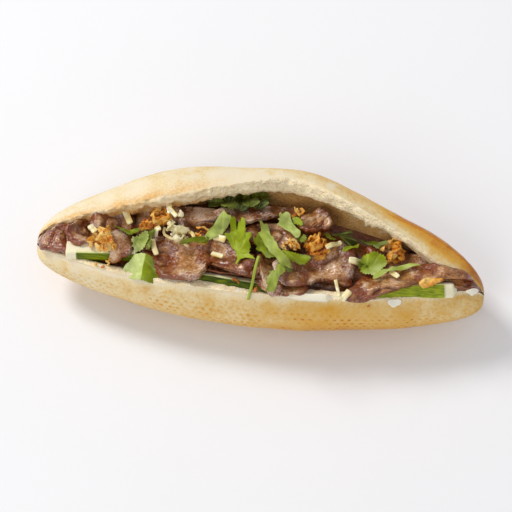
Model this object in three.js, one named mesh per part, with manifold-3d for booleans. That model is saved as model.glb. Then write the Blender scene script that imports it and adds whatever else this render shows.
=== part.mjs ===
// A filled long roll: a crusty wheat baguette slit along one side, opened like a book and packed with sliced
// grilled beef, cucumber sticks, pickled shreds, fried shallots and coriander leaves. Millimetres, +Z up.
//
// The sandwich is built standing on its hinge and then leant towards the reader. Inside that leaning group
// x runs along the roll, p (the group's y) from the slit's front lip to its back lip, and q (the group's z) out
// of the mouth. The filling is laid piece by piece on a height map of what lies beneath, as it is by hand.
import * as THREE from "three";
import { mergeVertices } from "three/addons/utils/BufferGeometryUtils.js";
import Module from "manifold-3d";

const wasm = await Module();
wasm.setup();

// ---- Driving dimensions -------------------------------------------------------------------------
const ROLL_LENGTH = 250;
const HALF_WIDTH = 45.4; // across the opened roll at its middle, front crust to back crust, halved
const DEPTH_SHARE = 0.69; // depth from axis to hinge, as a share of the half width
const BLUNTNESS = 0.33; // how the ends round off: 0.5 is an ellipse, less is blunter
const WAIST = 0.42; // how much the width falls towards the ends besides
const LEAN = 15; // degrees that the mouth leans towards the front
const REST_CUT = 1.4; // depth of the flat that the roll rests on
const CUT_FACE = 0.22; // width of the front cut face, as a share of the lip's distance from the axis
const CUT_SLOPE = 1.3; // how steeply it falls into the slit
const GAP = 0.35; // air between neighbouring solids
const SLICE = 3.8; // thickness of a slice of beef
const LEAF = 0.8; // thickness of a leaf
const SHRED = 1.9; // thickness of a pickled shred
const CRISP = 1.3; // thickness of a curl of fried shallot

const HALF_LENGTH = ROLL_LENGTH / 2;
const STATIONS = 32;
const RAD = Math.PI / 180;

// ---- Small helpers ------------------------------------------------------------------------------

// A repeatable draw from 0 to 1 for the n-th call of a given seed.
const draw = (seed, n) => {
  const wave = Math.sin(seed * 12.9898 + n * 78.233) * 43758.5453;
  return wave - Math.floor(wave);
};

// Catmull-Rom between b and c, with a and d as the neighbours.
const bend = (a, b, c, d, t) =>
  0.5 * (2 * b + (c - a) * t + (2 * a - 5 * b + 4 * c - d) * t * t + (3 * b - a - 3 * c + d) * t * t * t);

// A smooth line through points, closed or open, with a number of steps to each span.
function through(points, steps, closed) {
  const n = points.length;
  const at = (i) => points[closed ? (i + n) % n : Math.min(Math.max(i, 0), n - 1)];
  const line = [];
  for (let i = 0; i < (closed ? n : n - 1); i++)
    for (let j = 0; j < steps; j++)
      line.push(at(i).map((b, k) => bend(at(i - 1)[k], b, at(i + 1)[k], at(i + 2)[k], j / steps)));
  if (!closed) line.push(points[n - 1]);
  return line;
}

// A value at x read off a table of [x, value] rows, on a smooth line through them.
function table(rows, x) {
  const i = Math.max(1, rows.findIndex((row) => row[0] >= x));
  const row = (k) => rows[Math.min(Math.max(k, 0), rows.length - 1)];
  const [before, from, to, after] = [row(i - 2), row(i - 1), row(i), row(i + 1)];
  const span = to[0] - from[0];
  const t = Math.min(Math.max((x - from[0]) / span, 0), 1);
  const slope = (a, b) => ((b[1] - a[1]) / (b[0] - a[0])) * span;
  const [m0, m1] = [slope(before, to), slope(from, after)];
  return from[1] * (2 * t ** 3 - 3 * t * t + 1) + m0 * (t ** 3 - 2 * t * t + t)
    + to[1] * (3 * t * t - 2 * t ** 3) + m1 * (t ** 3 - t * t);
}

// A closed geometry from points and triangles.
function closedGeometry(points, triangles) {
  const geometry = new THREE.BufferGeometry();
  geometry.setAttribute("position", new THREE.Float32BufferAttribute(points.flat(), 3));
  geometry.setIndex(triangles.flat());
  return geometry;
}

// A loft through rings of equal count, closed by a point before the first ring and one after the last.
function loft(rings, firstPoint, lastPoint) {
  const n = rings[0].length;
  const points = [...rings.flat(), firstPoint, lastPoint];
  const [first, last] = [points.length - 2, points.length - 1];
  const triangles = [];
  for (let j = 0; j < n; j++) {
    const k = (j + 1) % n;
    triangles.push([first, k, j], [last, (rings.length - 1) * n + j, (rings.length - 1) * n + k]);
    for (let i = 0; i + 1 < rings.length; i++)
      triangles.push([i * n + j, i * n + k, (i + 1) * n + k],
    [i * n + j, (i + 1) * n + k, (i + 1) * n + j]);
  }
  return closedGeometry(points, triangles);
}

// A geometry as a manifold-3d solid, turned right side out.
function solid(geometry) {
  const bare = new THREE.BufferGeometry();
  bare.setAttribute("position", (geometry.index ? geometry.toNonIndexed() : geometry).getAttribute("position"));
  const merged = mergeVertices(bare, 1e-4);
  const build = (flip) => {
    const triVerts = new Uint32Array(merged.index.array);
    if (flip)
      for (let i = 0; i < triVerts.length; i += 3)
        [triVerts[i + 1], triVerts[i + 2]] = [triVerts[i + 2], triVerts[i + 1]];
    return new wasm.Manifold(
      new wasm.Mesh({ numProp: 3, vertProperties: merged.attributes.position.array, triVerts }),
    );
  };
  const made = build(false);
  return made.volume() < 0 ? build(true) : made;
}

// The largest body of a solid, without the scraps that a cut leaves.
const largest = (made) => made.decompose().reduce((a, b) => (b.volume() > a.volume() ? b : a));

// A solid back as a geometry.
function geometryOf(made) {
  const mesh = made.getMesh();
  const points = [];
  for (let i = 0; i < mesh.numVert; i++)
    points.push([0, 1, 2].map((k) => mesh.vertProperties[i * mesh.numProp + k]));
  return closedGeometry(points, [Array.from(mesh.triVerts)]);
}

// ---- The roll -----------------------------------------------------------------------------------

// Angle of each lip round the section, in degrees from the p axis, along the roll from its left end to its right.
const FRONT_LIP = [[-1, 58], [-0.6, 45.5], [0.4, 45.5], [0.65, 53], [0.85, 68], [1, 92]];
const BACK_LIP = [[-1, 62], [-0.6, 65], [-0.3, 58], [-0.05, 45], [0.08, 37], [0.22, 40], [0.45, 50],
    [0.62, 58],
  [0.8, 72], [1, 70]];
// Hand shaping: millimetres that the back crust stands proud of the even form along the roll.
const CREST = [[-1, 0], [-0.72, -1], [-0.45, 1], [-0.1, -1.2], [0.2, 1.4], [0.5, -1.6], [0.85, 1.8],
    [1, 0]];

const spindle = (s) => Math.max(0, 1 - s * s) ** BLUNTNESS * (1 - 0.035 * s - WAIST * s * s);
const halfWidth = (s) => HALF_WIDTH * spindle(s);
const depth = (s) => DEPTH_SHARE * halfWidth(s);
const axisShift = (s) => -1.5 * s - 13.2 * s * s - 1.5 * s ** 3;

// Inner wall of the slit as shares of the half width and depth: cut face, floor, hollow under the back crumb edge.
function innerWall(s) {
  const [front, back] = [table(FRONT_LIP, s) * RAD, table(BACK_LIP, s) * RAD];
  const lipFront = [-Math.cos(front), Math.sin(front)];
  const lipBack = [Math.cos(back), Math.sin(back)];
  const lean = (lip, along, inward) => [lip[0] * (1 - inward), lip[1] - along];
  return [
    lean(lipFront, 0, 0.03),
    lean(lipFront, CUT_SLOPE * CUT_FACE * Math.cos(front), CUT_FACE),
    [-0.53, -0.05],
    [-0.34, -0.5],
    [0.05, -0.66],
    [0.44, -0.46],
    [0.68, -0.02],
    [Math.min(0.7, lipBack[0] - 0.04), Math.min(0.24, lipBack[1] - 0.2)],
    lean(lipBack, 0.2, 0.17),
    lean(lipBack, 0.02, 0.03),
  ];
}

// One closed section of the roll: outer crust from the back lip under the hinge to the front lip, then the inside.
function rollSection(s, grow) {
  const [front, back] = [table(FRONT_LIP, s), table(BACK_LIP, s)];
  const [a, b] = [halfWidth(s), depth(s)];
  const OUTER = 18;
  const ring = [];
  for (let i = 0; i <= OUTER; i++) {
    const t = (back - ((back + 180 + front) * i) / OUTER) * RAD;
    const crest = table(CREST, s) * Math.max(0, Math.cos(t));
    ring.push([(a + crest) * Math.cos(t), (b + crest) * Math.sin(t)]);
  }
  const inside = innerWall(s).map(([u, v]) => [u * a, v * b]);
  inside.forEach(([u, v], i) => {
    const [before, after] = [inside[Math.max(i - 1, 0)], inside[Math.min(i + 1, inside.length - 1)]];
    const along = [after[0] - before[0], after[1] - before[1]];
    const size = Math.hypot(...along) || 1;
    ring.push([u - (along[1] / size) * grow, v + (along[0] / size) * grow]);
  });
  return ring.map(([u, v]) => [s * HALF_LENGTH, axisShift(s) + u, v]);
}

function roll(grow) {
  const rings = [];
  for (let i = 1; i < STATIONS; i++) rings.push(rollSection(-Math.cos((Math.PI * i) / STATIONS), grow));
  return loft(rings, [-HALF_LENGTH, axisShift(1), 0], [HALF_LENGTH, axisShift(1), 0]);
}

// ---- The height map of the filling --------------------------------------------------------------

const CELL = 1.5;
const COLUMNS = 178;
const ROWS = 72;
const X0 = (-CELL * (COLUMNS - 1)) / 2;
const P0 = (-CELL * (ROWS - 1)) / 2;
const CROWN = 16.5; // height of the filling above the axis at the middle
const CROWN_P = -8; // where across the mouth it is highest
const BED_DROP = 8; // how far the lowest beef lies beneath the visible pieces

// Height of the finished heap of filling at x, p.
function heap(x, p) {
  const s = Math.min(Math.abs(x / HALF_LENGTH), 1);
  const off = p - axisShift(s) - CROWN_P;
  const fall = off > 0 ? 13 * (off / 32) ** 2 : 3 * (off / 25) ** 2;
  return spindle(s) ** 0.7 * (CROWN - fall);
}

// Height of the crust and cut face of the roll's front half, or far down where there is none.
function frontHalf(x, p) {
  const s = x / HALF_LENGTH;
  if (Math.abs(s) >= 0.99) return -99;
  const share = (p - axisShift(s)) / halfWidth(s);
  const lip = Math.cos(table(FRONT_LIP, s) * RAD);
  if (share < -1 || share > -0.6 * lip) return -99;
  const outside = Math.sqrt(1 - share * share);
  return depth(s) * (share < -lip ? outside : Math.sqrt(1 - lip * lip) - CUT_SLOPE * (share + lip));
}

let map = Float64Array.from({ length: COLUMNS * ROWS }, (_, i) => {
  const [x, p] = [X0 + CELL * (i % COLUMNS), P0 + CELL * Math.floor(i / COLUMNS)];
  return Math.max(heap(x, p) - BED_DROP, frontHalf(x, p));
});

// A filter run along both axes of the map: blend takes the window's values.
function sweep(grid, reach, blend) {
  const pass = (from, count, stride, other, otherStride) => {
    const out = new Float64Array(from.length);
    for (let r = 0; r < other; r++)
      for (let c = 0; c < count; c++) {
        const window = [];
        for (let k = -reach; k <= reach; k++)
          window.push(from[Math.min(Math.max(c + k, 0), count - 1) * stride + r * otherStride]);
        out[c * stride + r * otherStride] = blend(window);
      }
    return out;
  };
  return pass(pass(grid, COLUMNS, 1, ROWS, COLUMNS), ROWS, COLUMNS, COLUMNS, 1);
}
const highest = (window) => Math.max(...window);
const mean = (window) => window.reduce((a, b) => a + b, 0) / window.length;

// What a piece of a given stiffness, in cells, rests on: the map with its hollows bridged. A soft piece sinks a
// little into what lies beneath, which is cut to fit it.
const underside = (stiffness) => sweep(sweep(map, 1, highest), stiffness, mean);

// The map's value at x, p, between its cells.
function read(grid, x, p) {
  const [c, r] = [(x - X0) / CELL, (p - P0) / CELL];
  const i = Math.min(Math.max(Math.floor(c), 0), COLUMNS - 2);
  const j = Math.min(Math.max(Math.floor(r), 0), ROWS - 2);
  const [u, v] = [c - i, r - j];
  const at = (m, n) => grid[n * COLUMNS + m];
  const near = (1 - u) * at(i, j) + u * at(i + 1, j);
  const far = (1 - u) * at(i, j + 1) + u * at(i + 1, j + 1);
  return (1 - v) * near + v * far;
}

// Raises the map to a height at x, p.
function stamp(x, p, q) {
  const i = Math.round((p - P0) / CELL) * COLUMNS + Math.round((x - X0) / CELL);
  map[i] = Math.max(map[i], q);
}

// ---- Kinds of piece: each gives its solid, grown by a margin, and the points of its top ---------

// A slice or a leaf. rim: points round the edge as [x, p]. thick: thickness. stiff: cells that it bridges.
// lift: extra height. turn: direction of its midrib or grain in degrees. arch: droop per mm squared each side of
// that line. fold: slope each side of it. rise: slope along it. curl: how far the rim turns up. wave: height of the
// waves along the rim. teeth and bite: notches round the edge and their depth. edge: thickness left at the rim.
function sheet(rim, options) {
  const { thick, stiff = 3, lift = 0, turn = 0, arch = 0, fold = 0, rise = 0, curl = 0, wave = 0 } = options;
  const { teeth = 0, bite = 0, spans = 2, edge = 0.4 } = options;
  const ground = underside(stiff);
  const centre = [0, 1].map((k) => rim.reduce((sum, point) => sum + point[k], 0) / rim.length);
  const outward = (point, share) => [0, 1].map((k) => centre[k] + (point[k] - centre[k]) * share);
  const outline = (steps) => {
    const line = through(rim, steps, true);
    return line.map((point, i) => outward(point, 1 - bite * Math.sin((Math.PI * teeth * i) / line.length) ** 2));
  };
  const [cos, sin] = [Math.cos(turn * RAD), Math.sin(turn * RAD)];
  const middle = (x, p, r) => {
    const along = (x - centre[0]) * cos + (p - centre[1]) * sin;
    const across = (p - centre[1]) * cos - (x - centre[0]) * sin;
    const ripple = wave * r * r * Math.sin(0.42 * x + 0.31 * p + 0.8 * Math.sin(0.3 * p));
    const form = rise * along - arch * across * across - fold * Math.abs(across) + curl * r ** 3 + ripple;
    return read(ground, x, p) + thick / 2 + GAP + lift + form;
  };
  const half = (r) => (thick / 2) * (edge + (1 - edge) * Math.sqrt(1 - r ** 4));
  const make = (grow) => {
    const outer = outline(spans);
    const n = outer.length;
    const face = (side) => {
      const points = [[...centre, middle(...centre, 0) + side * (half(0) + grow)]];
      for (const r of [0.62, 1])
        for (const point of outer) {
          const reach = Math.hypot(point[0] - centre[0], point[1] - centre[1]);
          const [x, p] = outward(point, r === 1 ? (reach + grow) / reach : r);
          points.push([x, p, middle(x, p, r) + side * (half(r) + grow)]);
        }
      return points;
    };
    const under = 1 + 2 * n;
    const triangles = [];
    for (let j = 0; j < n; j++) {
      const k = (j + 1) % n;
      const [a, b, c, d] = [1 + j, 1 + k, 1 + n + j, 1 + n + k];
      triangles.push([0, a, b], [a, c, d], [a, d, b]);
      triangles.push([under, under + b, under + a]);
      triangles.push([under + a, under + d, under + c], [under + a, under + b, under + d]);
      triangles.push([c, under + c, under + d], [c, under + d, d]);
    }
    return solid(closedGeometry([...face(1), ...face(-1)], triangles));
  };
  const tops = [];
  for (let i = 0; i < 24; i++)
    for (const point of outline(12)) {
      const [x, p] = outward(point, i / 23);
      tops.push([x, p, middle(x, p, i / 23) + half(i / 23)]);
    }
  return { make, tops };
}

// A shred or a stem. path: points along it as [x, p]. wide and thick: its section. hump: how far its middle rises.
function strip(path, { wide = 2.8, thick = SHRED, stiff = 1, lift = 0, hump = 0 } = {}) {
  const ground = underside(stiff);
  const line = through(path, 3, false);
  const last = line.length - 1;
  const level = (i) => {
    const rest = Math.max(...[-0.5, 0, 0.5].map((side) => {
      const [dx, dp] = heading(i);
      return read(ground, line[i][0] - dp * side * wide, line[i][1] + dx * side * wide);
    }));
    return rest + thick / 2 + GAP + lift + hump * Math.sin((Math.PI * i) / last);
  };
  const heading = (i) => {
    const [a, b] = [line[Math.max(i - 1, 0)], line[Math.min(i + 1, last)]];
    const size = Math.hypot(b[0] - a[0], b[1] - a[1]);
    return [(b[0] - a[0]) / size, (b[1] - a[1]) / size];
  };
  const make = (grow) => {
    const [side, half] = [wide / 2 + grow, thick / 2 + grow];
    const at = (i, out, u, v) => {
      const [dx, dp] = heading(i);
      return [line[i][0] - dp * u + dx * out, line[i][1] + dx * u + dp * out, level(i) + v];
    };
    const rings = line.map((_, i) => {
      const out = i === 0 ? -grow : i === last ? grow : 0;
      return [[-side, -half], [side, -half], [side, half], [-side, half]].map(([u, v]) => at(i, out, u, v));
    });
    return solid(loft(rings, at(0, -0.4 - grow, 0, 0), at(last, 0.4 + grow, 0, 0)));
  };
  return { make, tops: line.map(([x, p], i) => [x, p, level(i) + thick / 2]) };
}

// A cucumber stick cut lengthwise: a flat cut face on top, cut sides, and the rounded skin along the front.
function stick(from, to, { wide, tall, q, pitch = 0 }) {
  const [dx, dp] = [to[0] - from[0], to[1] - from[1]];
  const length = Math.hypot(dx, dp);
  const make = (grow) => {
    const [w, h] = [wide / 2 + grow, tall / 2 + grow];
    const shape = new THREE.Shape();
    shape.moveTo(-w, h);
    shape.lineTo(-w * 0.96, 0);
    shape.quadraticCurveTo(-w * 0.9, -h * 0.9, -w * 0.3, -h);
    shape.lineTo(w, -h);
    shape.lineTo(w, h);
    shape.closePath();
    const options = { depth: length + 2 * grow, steps: 3, curveSegments: 4, bevelEnabled: false };
    const geometry = new THREE.ExtrudeGeometry(shape, options);
    geometry.translate(0, 0, -grow);
    const [across, up, along] = [[0, 1, 0], [0, 0, 1], [1, 0, 0]].map((axis) => new THREE.Vector3(...axis));
    geometry.applyMatrix4(new THREE.Matrix4().makeBasis(across, up, along));
    geometry.rotateY(-pitch * RAD);
    geometry.rotateZ(Math.atan2(dp, dx));
    geometry.translate(from[0], from[1], q);
    return solid(geometry);
  };
  const tops = [];
  for (let u = 0; u <= 1; u += 0.025)
    for (let v = -0.5; v <= 0.5; v += 0.125) {
      const side = (v * wide) / length;
      const height = q + tall / 2 + Math.tan(pitch * RAD) * length * u;
      tops.push([from[0] + dx * u - dp * side, from[1] + dp * u + dx * side, height]);
    }
  return { make, tops };
}

// A clump of fried shallot: crinkled curls, each an arc of a ring, tipped at random round a small heart.
function crisp(at, reach, seed, curls = 3) {
  const heart = [...at, read(underside(2), ...at) + GAP + reach * 0.38];
  const STEPS = 3;
  const curl = (n, grow) => {
    const pick = (k) => draw(seed, n * 7 + k);
    const radius = reach * (0.5 + 0.25 * pick(0));
    const angle = Math.PI * (0.9 + 0.6 * pick(1));
    const wide = reach * (0.42 + 0.25 * pick(2));
    const rings = [];
    for (let i = 0; i <= STEPS; i++) {
      const t = (i / STEPS - 0.5) * angle;
      const ripple = radius * (1 + 0.12 * Math.sin(t * 5 + n));
      const side = (wide / 2) * (i === 0 || i === STEPS ? 0.55 : 1) + grow;
      const [inner, outer] = [ripple - CRISP / 2 - grow, ripple + CRISP / 2 + grow];
      rings.push([[inner, -side], [outer, -side], [outer, side], [inner, side]].map(([u, v]) => [
        u * Math.cos(t),
        u * Math.sin(t),
        v,
      ]));
    }
    const over = angle / 2 + grow / radius + 0.04;
    const tip = (t) => [radius * Math.cos(t), radius * Math.sin(t), 0];
    const geometry = loft(rings, tip(-over), tip(over));
    geometry.rotateX((pick(3) - 0.5) * 1.9);
    geometry.rotateY((pick(4) - 0.5) * 1.9);
    geometry.rotateZ(pick(5) * 2 * Math.PI);
    const [away, bearing] = [reach * 0.3 * pick(6), pick(7) * 2 * Math.PI];
    geometry.translate(heart[0] + away * Math.cos(bearing), heart[1] + away * Math.sin(bearing), heart[2]);
    return solid(geometry);
  };
  const make = (grow) => {
    const core = new THREE.IcosahedronGeometry(reach * 0.5 + grow, 0);
    core.scale(1, 1, 0.75);
    core.translate(...heart);
    let made = solid(core);
    for (let n = 0; n < curls; n++) made = made.add(curl(n, grow));
    return made;
  };
  const tops = [[...at, heart[2] + reach * 0.5]];
  for (let a = 0; a < 12; a++)
    for (const r of [0.3, 0.6]) {
      const [x, p] = [Math.cos((a * Math.PI) / 6), Math.sin((a * Math.PI) / 6)];
      tops.push([at[0] + reach * r * x, at[1] + reach * r * p, heart[2] + reach * (0.6 - 0.6 * r)]);
    }
  return { make, tops };
}

// ---- The filling, in the order in which it is laid ----------------------------------------------

const beef = (rim, more) => () => sheet(rim, { thick: SLICE, wave: 0.7, ...more });
const leaf = (rim, more) => () =>
  sheet(rim, { thick: LEAF, stiff: 2, edge: 1, spans: 1, wave: 0.5, ...more });
const shred = (path, more) => () => strip(path, more);
const shallot = (at, reach, seed, curls) => () => crisp(at, reach, seed, curls);
const cucumber = (from, to, more) => () => stick(from, to, more);

const FILLING = [
  ["cucumber_middle", "cucumber", cucumber([-42, -25], [8, -27], { wide: 7, tall: 8, q: 9 })],
  ["beef_tip_left", "beef", beef([[-123, -12], [-119, -6], [-110, -2], [-101, -5], [-99, -13], [-106, -20],
    [-115, -19]])],
  ["beef_back_left", "beef", beef([[-79, 9], [-69, 17], [-57, 18], [-51, 12], [-56, 1], [-66, -3],
    [-77, -1]],
    { arch: 0.02 })],
  ["beef_strip_back_left", "beef", beef([[-59, 12], [-48, 17], [-36, 18], [-26, 17], [-22, 12], [-31, 7],
    [-44, 5],
    [-56, 7]], { thick: 6, stiff: 4, arch: 0.03, lift: 1 })],
  ["beef_behind_leaf", "beef", beef([[-46, 7], [-33, 7], [-20, 7], [-6, 8], [-6, -2], [-20, -4], [-34, -4],
    [-46, -3]])],
  ["beef_middle", "beef", beef([[-12, 6], [-2, 12], [9, 13], [20, 10], [24, 1], [13, -4], [0, -3],
    [-10, -1]])],
  ["beef_back_right", "beef", beef([[58, 4], [69, 6], [80, 5], [92, 3], [104, -3], [95, -9], [78, -11],
    [62, -6]])],
  ["beef_tip_right", "beef", beef([[93, -3], [104, -2], [114, -5], [121, -11], [116, -17], [104, -16],
    [95, -10]])],
  ["beef_front_low", "beef", beef([[-33, -22], [-22, -17], [-9, -17], [4, -22], [3, -29], [-12, -29],
    [-26, -29]])],
  ["beef_strip_back", "beef", beef([[-29, 12], [-19, 19], [-6, 23], [9, 24], [20, 23], [20, 17], [6, 15],
    [-7, 9],
    [-18, 8]], { thick: 6, stiff: 4, arch: 0.03, lift: 1.5 })],
  ["beef_fold_back_right", "beef", beef([[18, 15], [26, 24], [34, 27], [39, 21], [38, 11], [30, 7],
    [20, 8]],
    { thick: 7, stiff: 4, turn: 40, arch: 0.03, lift: 1 })],
  ["cucumber_left", "cucumber", cucumber([-106, -17.5],
    [-68, -15.5], { wide: 8, tall: 7, q: 12.5, pitch: 2 })],
  ["cucumber_right", "cucumber", cucumber([74, -22], [110, -15.5], { wide: 7, tall: 7, q: 15, pitch: -7 })],
  ["beef_left_2", "beef", beef([[-105, -3], [-98, 2], [-91, 2], [-87, -3], [-91, -10], [-97, -13],
    [-104, -13]])],
  ["beef_left_3", "beef", beef([[-95, 1], [-87, 5], [-77, 6], [-72, 1], [-74, -8], [-83, -11], [-92, -8]],
    { curl: 1.5 })],
  ["beef_curl_left", "beef", beef([[-84, -6], [-76, -2], [-69, -5], [-68, -13], [-74, -20], [-82, -22],
    [-82, -15]], { turn: -60, arch: 0.04 })],
  ["beef_centre_low", "beef", beef([[-4, -16], [1, -8], [10, -7], [21, -12], [28, -22], [27, -30],
    [14, -32],
    [3, -28]])],
  ["beef_lobe_front", "beef", beef([[-16, -16], [-7, -12], [2, -15], [5, -21], [-4, -25], [-14, -23]],
    { thick: 5 })],
  ["beef_main", "beef", beef([[-66, -20], [-61, -9], [-50, -1], [-38, -2], [-25, -1], [-11, -5], [-1, -15],
    [-5, -24], [-17, -24], [-27, -20], [-33, -29], [-41, -32], [-54, -31],
    [-63, -27]], { stiff: 4, wave: 1 })],
  ["beef_tongue", "beef", beef([[0, -10], [7, -7], [14, -15], [16, -28], [10, -34], [4, -27], [1, -18]],
    { thick: 3.6 })],
  ["beef_centre_right", "beef", beef([[9, -13], [21, -7], [34, 0], [44, 7], [50, 3], [53, -8], [51, -17],
    [42, -18], [33, -15], [25, -21], [18, -27], [11, -24]], { stiff: 4, wave: 1 })],
  ["beef_right_long", "beef", beef([[45, -32], [46, -26], [52, -18], [60, -12], [72, -10], [84, -4],
    [98, -2],
    [112, -5], [118, -10], [104, -12], [91, -16], [79, -21], [66, -27], [54, -32]],
  { stiff: 4, turn: 18, arch: 0.02, wave: 0.9 })],
  ["shallot_left", "shallot", shallot([-88, -10], 8, 3, 3), shallot([-81, -13], 4.5, 5, 1)],
  ["shallot_back_left", "shallot", shallot([-57, 8], 7.5, 8, 3), shallot([-63, 2], 5, 12, 1)],
  ["shallot_behind_leaf", "shallot", shallot([-33, -1], 5, 15, 2)],
  ["shallot_centre", "shallot", shallot([31, 0], 8, 21, 3)],
  ["shallot_middle", "shallot", shallot([17, -2], 5.5, 27, 2)],
  ["shallot_shard_back", "shallot", shallot([17, 19], 4, 30, 1)],
  ["shallot_right", "shallot", shallot([72, 2], 7.5, 34, 3)],
  ["shallot_on_cucumber", "shallot", shallot([96, -13], 5, 41, 1)],
  ["pickle_left_back", "pickle", shred([[-78, 11], [-73, 2]], { wide: 3.6 })],
  ["pickle_left", "pickle", shred([[-95, -2], [-90, -8]], { wide: 3.6 })],
  ["pickle_curls", "pickle",
    shred([[-56, 1], [-52, -4], [-45, -5], [-43, -8]], { wide: 3 }),
    shred([[-52, -1], [-46, 4], [-41, 1], [-37, -4]], { wide: 4 }),
    shred([[-50, 3], [-44, -3], [-39, -1]], { wide: 4 })],
  ["pickle_fork_back", "pickle",
    shred([[-53, 15], [-51, 8]], { wide: 3 }), shred([[-53, 12], [-47, 6]], { wide: 2.6 })],
  ["pickle_hang", "pickle", shred([[-59, -5], [-57, -16]], { wide: 3.2 })],
  ["pickle_on_main", "pickle", shred([[-27, -11], [-19, -15]], { wide: 2.8 })],
  ["pickle_behind_fan", "pickle", shred([[-27, -3], [-18, -5]], { wide: 4.4, thick: 2.6 })],
  ["pickle_right_back", "pickle", shred([[36, -2], [44, 4]], { wide: 2.8 })],
  ["pickle_right", "pickle", shred([[49, -6], [56, -6]], { wide: 4.4 })],
  ["pickle_right_low", "pickle", shred([[72, -11], [77, -15]], { wide: 2.8 })],
  ["pickle_lip", "pickle", shred([[52, -23], [47, -30]], { wide: 3.6, thick: 3 })],
  ["pickle_thread", "pickle", shred([[43, -19], [45, -25], [46, -30]], { wide: 1.8 })],
  ["leaf_left", "coriander",
    leaf([[-71, -10], [-71, -7], [-68, -3], [-63, -2], [-60, -5], [-61, -9], [-65, -14], [-69, -14]],
      { turn: 60, arch: 0.03, lift: 0.5 }),
    leaf([[-64, -1], [-60, 0], [-57, 0], [-58, -4], [-61, -7], [-64, -5]], { lift: 0.2 }),
    leaf([[-83, -1], [-78, 1], [-73, -1], [-67, -1], [-69, -4], [-74, -6], [-79, -3]])],
  ["leaf_folded", "coriander", leaf([[-67, -15], [-63, -15], [-59, -17], [-56, -21], [-52, -27], [-53, -31],
    [-60, -31], [-66, -30], [-72, -27], [-70, -21]], { turn: 72, fold: 0.4, lift: 3, spans: 2 })],
  ["leaf_blade", "coriander",
    leaf([[-23, 14], [-18, 11], [-20, 5], [-24, 0], [-29, -5], [-32, -4], [-29, 2], [-26, 8]],
      { turn: 55, arch: 0.04, lift: 1 }),
    leaf([[-26, -1], [-31, -6], [-38, -9], [-46, -9], [-39, -5], [-31, -2]], { lift: 0.5 })],
  ["leaf_fan", "coriander",
    leaf([[-22, 1], [-18, 2], [-17, 8], [-15, 10], [-13, 4], [-12, 11], [-10, 10], [-9, 4], [-7, 0],
    [-7, -6],
      [-5, -12], [-8, -15], [-12, -15], [-17, -6]], { turn: 100, arch: 0.02, lift: 1 }),
    leaf([[-12, -11], [-6, -10], [-1, -16], [-6, -15], [-9, -17], [-11, -21], [-12, -16]], { lift: 0.6 })],
  ["leaf_big", "coriander",
    leaf([[-2, 10], [1, 12], [3, 7], [6, 3], [10, -4], [14, -10], [18, -15], [17, -18], [12, -16], [7, -11],
      [2, -5], [-2, 1], [-3, 5]], { turn: -50, arch: 0.03, lift: 1.6 }),
    leaf([[8, -4], [16, -5], [24, -6], [30, -8], [26, -12], [19, -14], [12, -12]], { lift: 1 }),
    leaf([[-4, 0], [-1, 2], [3, -4], [8, -10], [10, -14], [5, -14], [1, -10], [-2, -6]], { lift: 0.4 })],
  ["leaf_low", "coriander",
    leaf([[13, -15], [16, -19], [15, -23], [13, -28], [11, -33], [7, -32], [6, -27], [8, -22], [11, -18]],
      { turn: 60, arch: 0.04, lift: 0.6 }),
    leaf([[13, -16], [20, -17], [21, -21], [17, -22], [13, -20]])],
  ["leaf_rolled", "coriander",
    leaf([[8, 14], [9, 17], [12, 19], [15, 17], [18, 10], [23, 4], [24, 0], [20, 0], [15, 5], [10, 10]],
      { turn: -55, arch: 0.1, lift: 2 }),
    leaf([[14, 14], [20, 16], [23, 12], [21, 8], [17, 9]], { lift: 0.6 })],
  ["leaf_dark_right", "coriander",
    leaf([[42, 9], [45, 12], [49, 11], [52, 6], [50, 3], [46, 1],
    [42, 4]], { turn: 10, arch: 0.03, lift: 1 }),
    leaf([[37, 8], [42, 12], [47, 15], [50, 13], [47, 10], [42, 7]], { lift: 0.4 }),
    leaf([[33, 9], [37, 10], [40, 7], [43, 5], [39, 2], [36, 5]], { lift: 0.6 }),
    leaf([[44, -2], [47, 3], [51, 5], [54, 3], [51, 0], [48, -2]], { lift: 0.5 })],
  ["leaf_back_right", "coriander", leaf([[51, 7], [55, 9], [60, 9], [65, 8], [70, 6], [67, 2], [62, 3],
    [57, 5]])],
  ["leaf_round_right", "coriander",
    leaf([[56, -13], [56, -10], [62, -5], [67, -2], [70, -4], [71, -7], [69, -10], [63, -14], [59, -16]],
      { turn: 40, arch: 0.03, lift: 1 }),
    leaf([[53, -8], [55, -3], [60, 1], [65, 0], [68, -3], [63, -7], [58, -11]], { lift: 0.4 })],
  ["leaf_blade_right", "coriander", leaf([[61, -18], [64, -13], [68, -10], [74, -7], [80, -5], [89, -4],
    [84, -8],
    [77, -11], [69, -14], [65, -16]], { turn: 24, arch: 0.06, lift: 1 })],
  ["leaf_bunch_back", "coriander",
    leaf([[-24, 20], [-22, 25], [-17, 28], [-12, 28], [-10, 22], [-13, 17], [-19, 15]],
      { turn: 90, rise: 1, lift: 5.5 }),
    leaf([[-14, 27], [-6, 28], [0, 27], [2, 22], [-4, 20], [-10, 18],
    [-15, 20]], { turn: 90, rise: 1, lift: 6 }),
    leaf([[-34, 22], [-30, 24], [-23, 25], [-20, 22], [-25, 20],
    [-30, 20]], { turn: 90, rise: 0.8, lift: 3 })],
  ["stem_front", "coriander", shred([[1, -14], [-1, -25], [-3, -36]], { wide: 1.9, thick: 1.6, stiff: 2 })],
];

// ---- Mayonnaise and the beef beneath ------------------------------------------------------------

// Mayonnaise: a thin spread on the front cut face between two stations, thickest in a dollop.
const SPREAD_FROM = -0.42;
const SPREAD_TO = 0.5;
const SPREAD_THICK = 1.3;
const DOLLOP_AT = 0.27;
const DOLLOP_THICK = 2.6; // more than the spread
const DOLLOP_REACH = 0.07; // half its length, as a share of half the roll
const OFF_FACE = [0.67, 0.74]; // direction out of the cut face, as p and q

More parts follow.
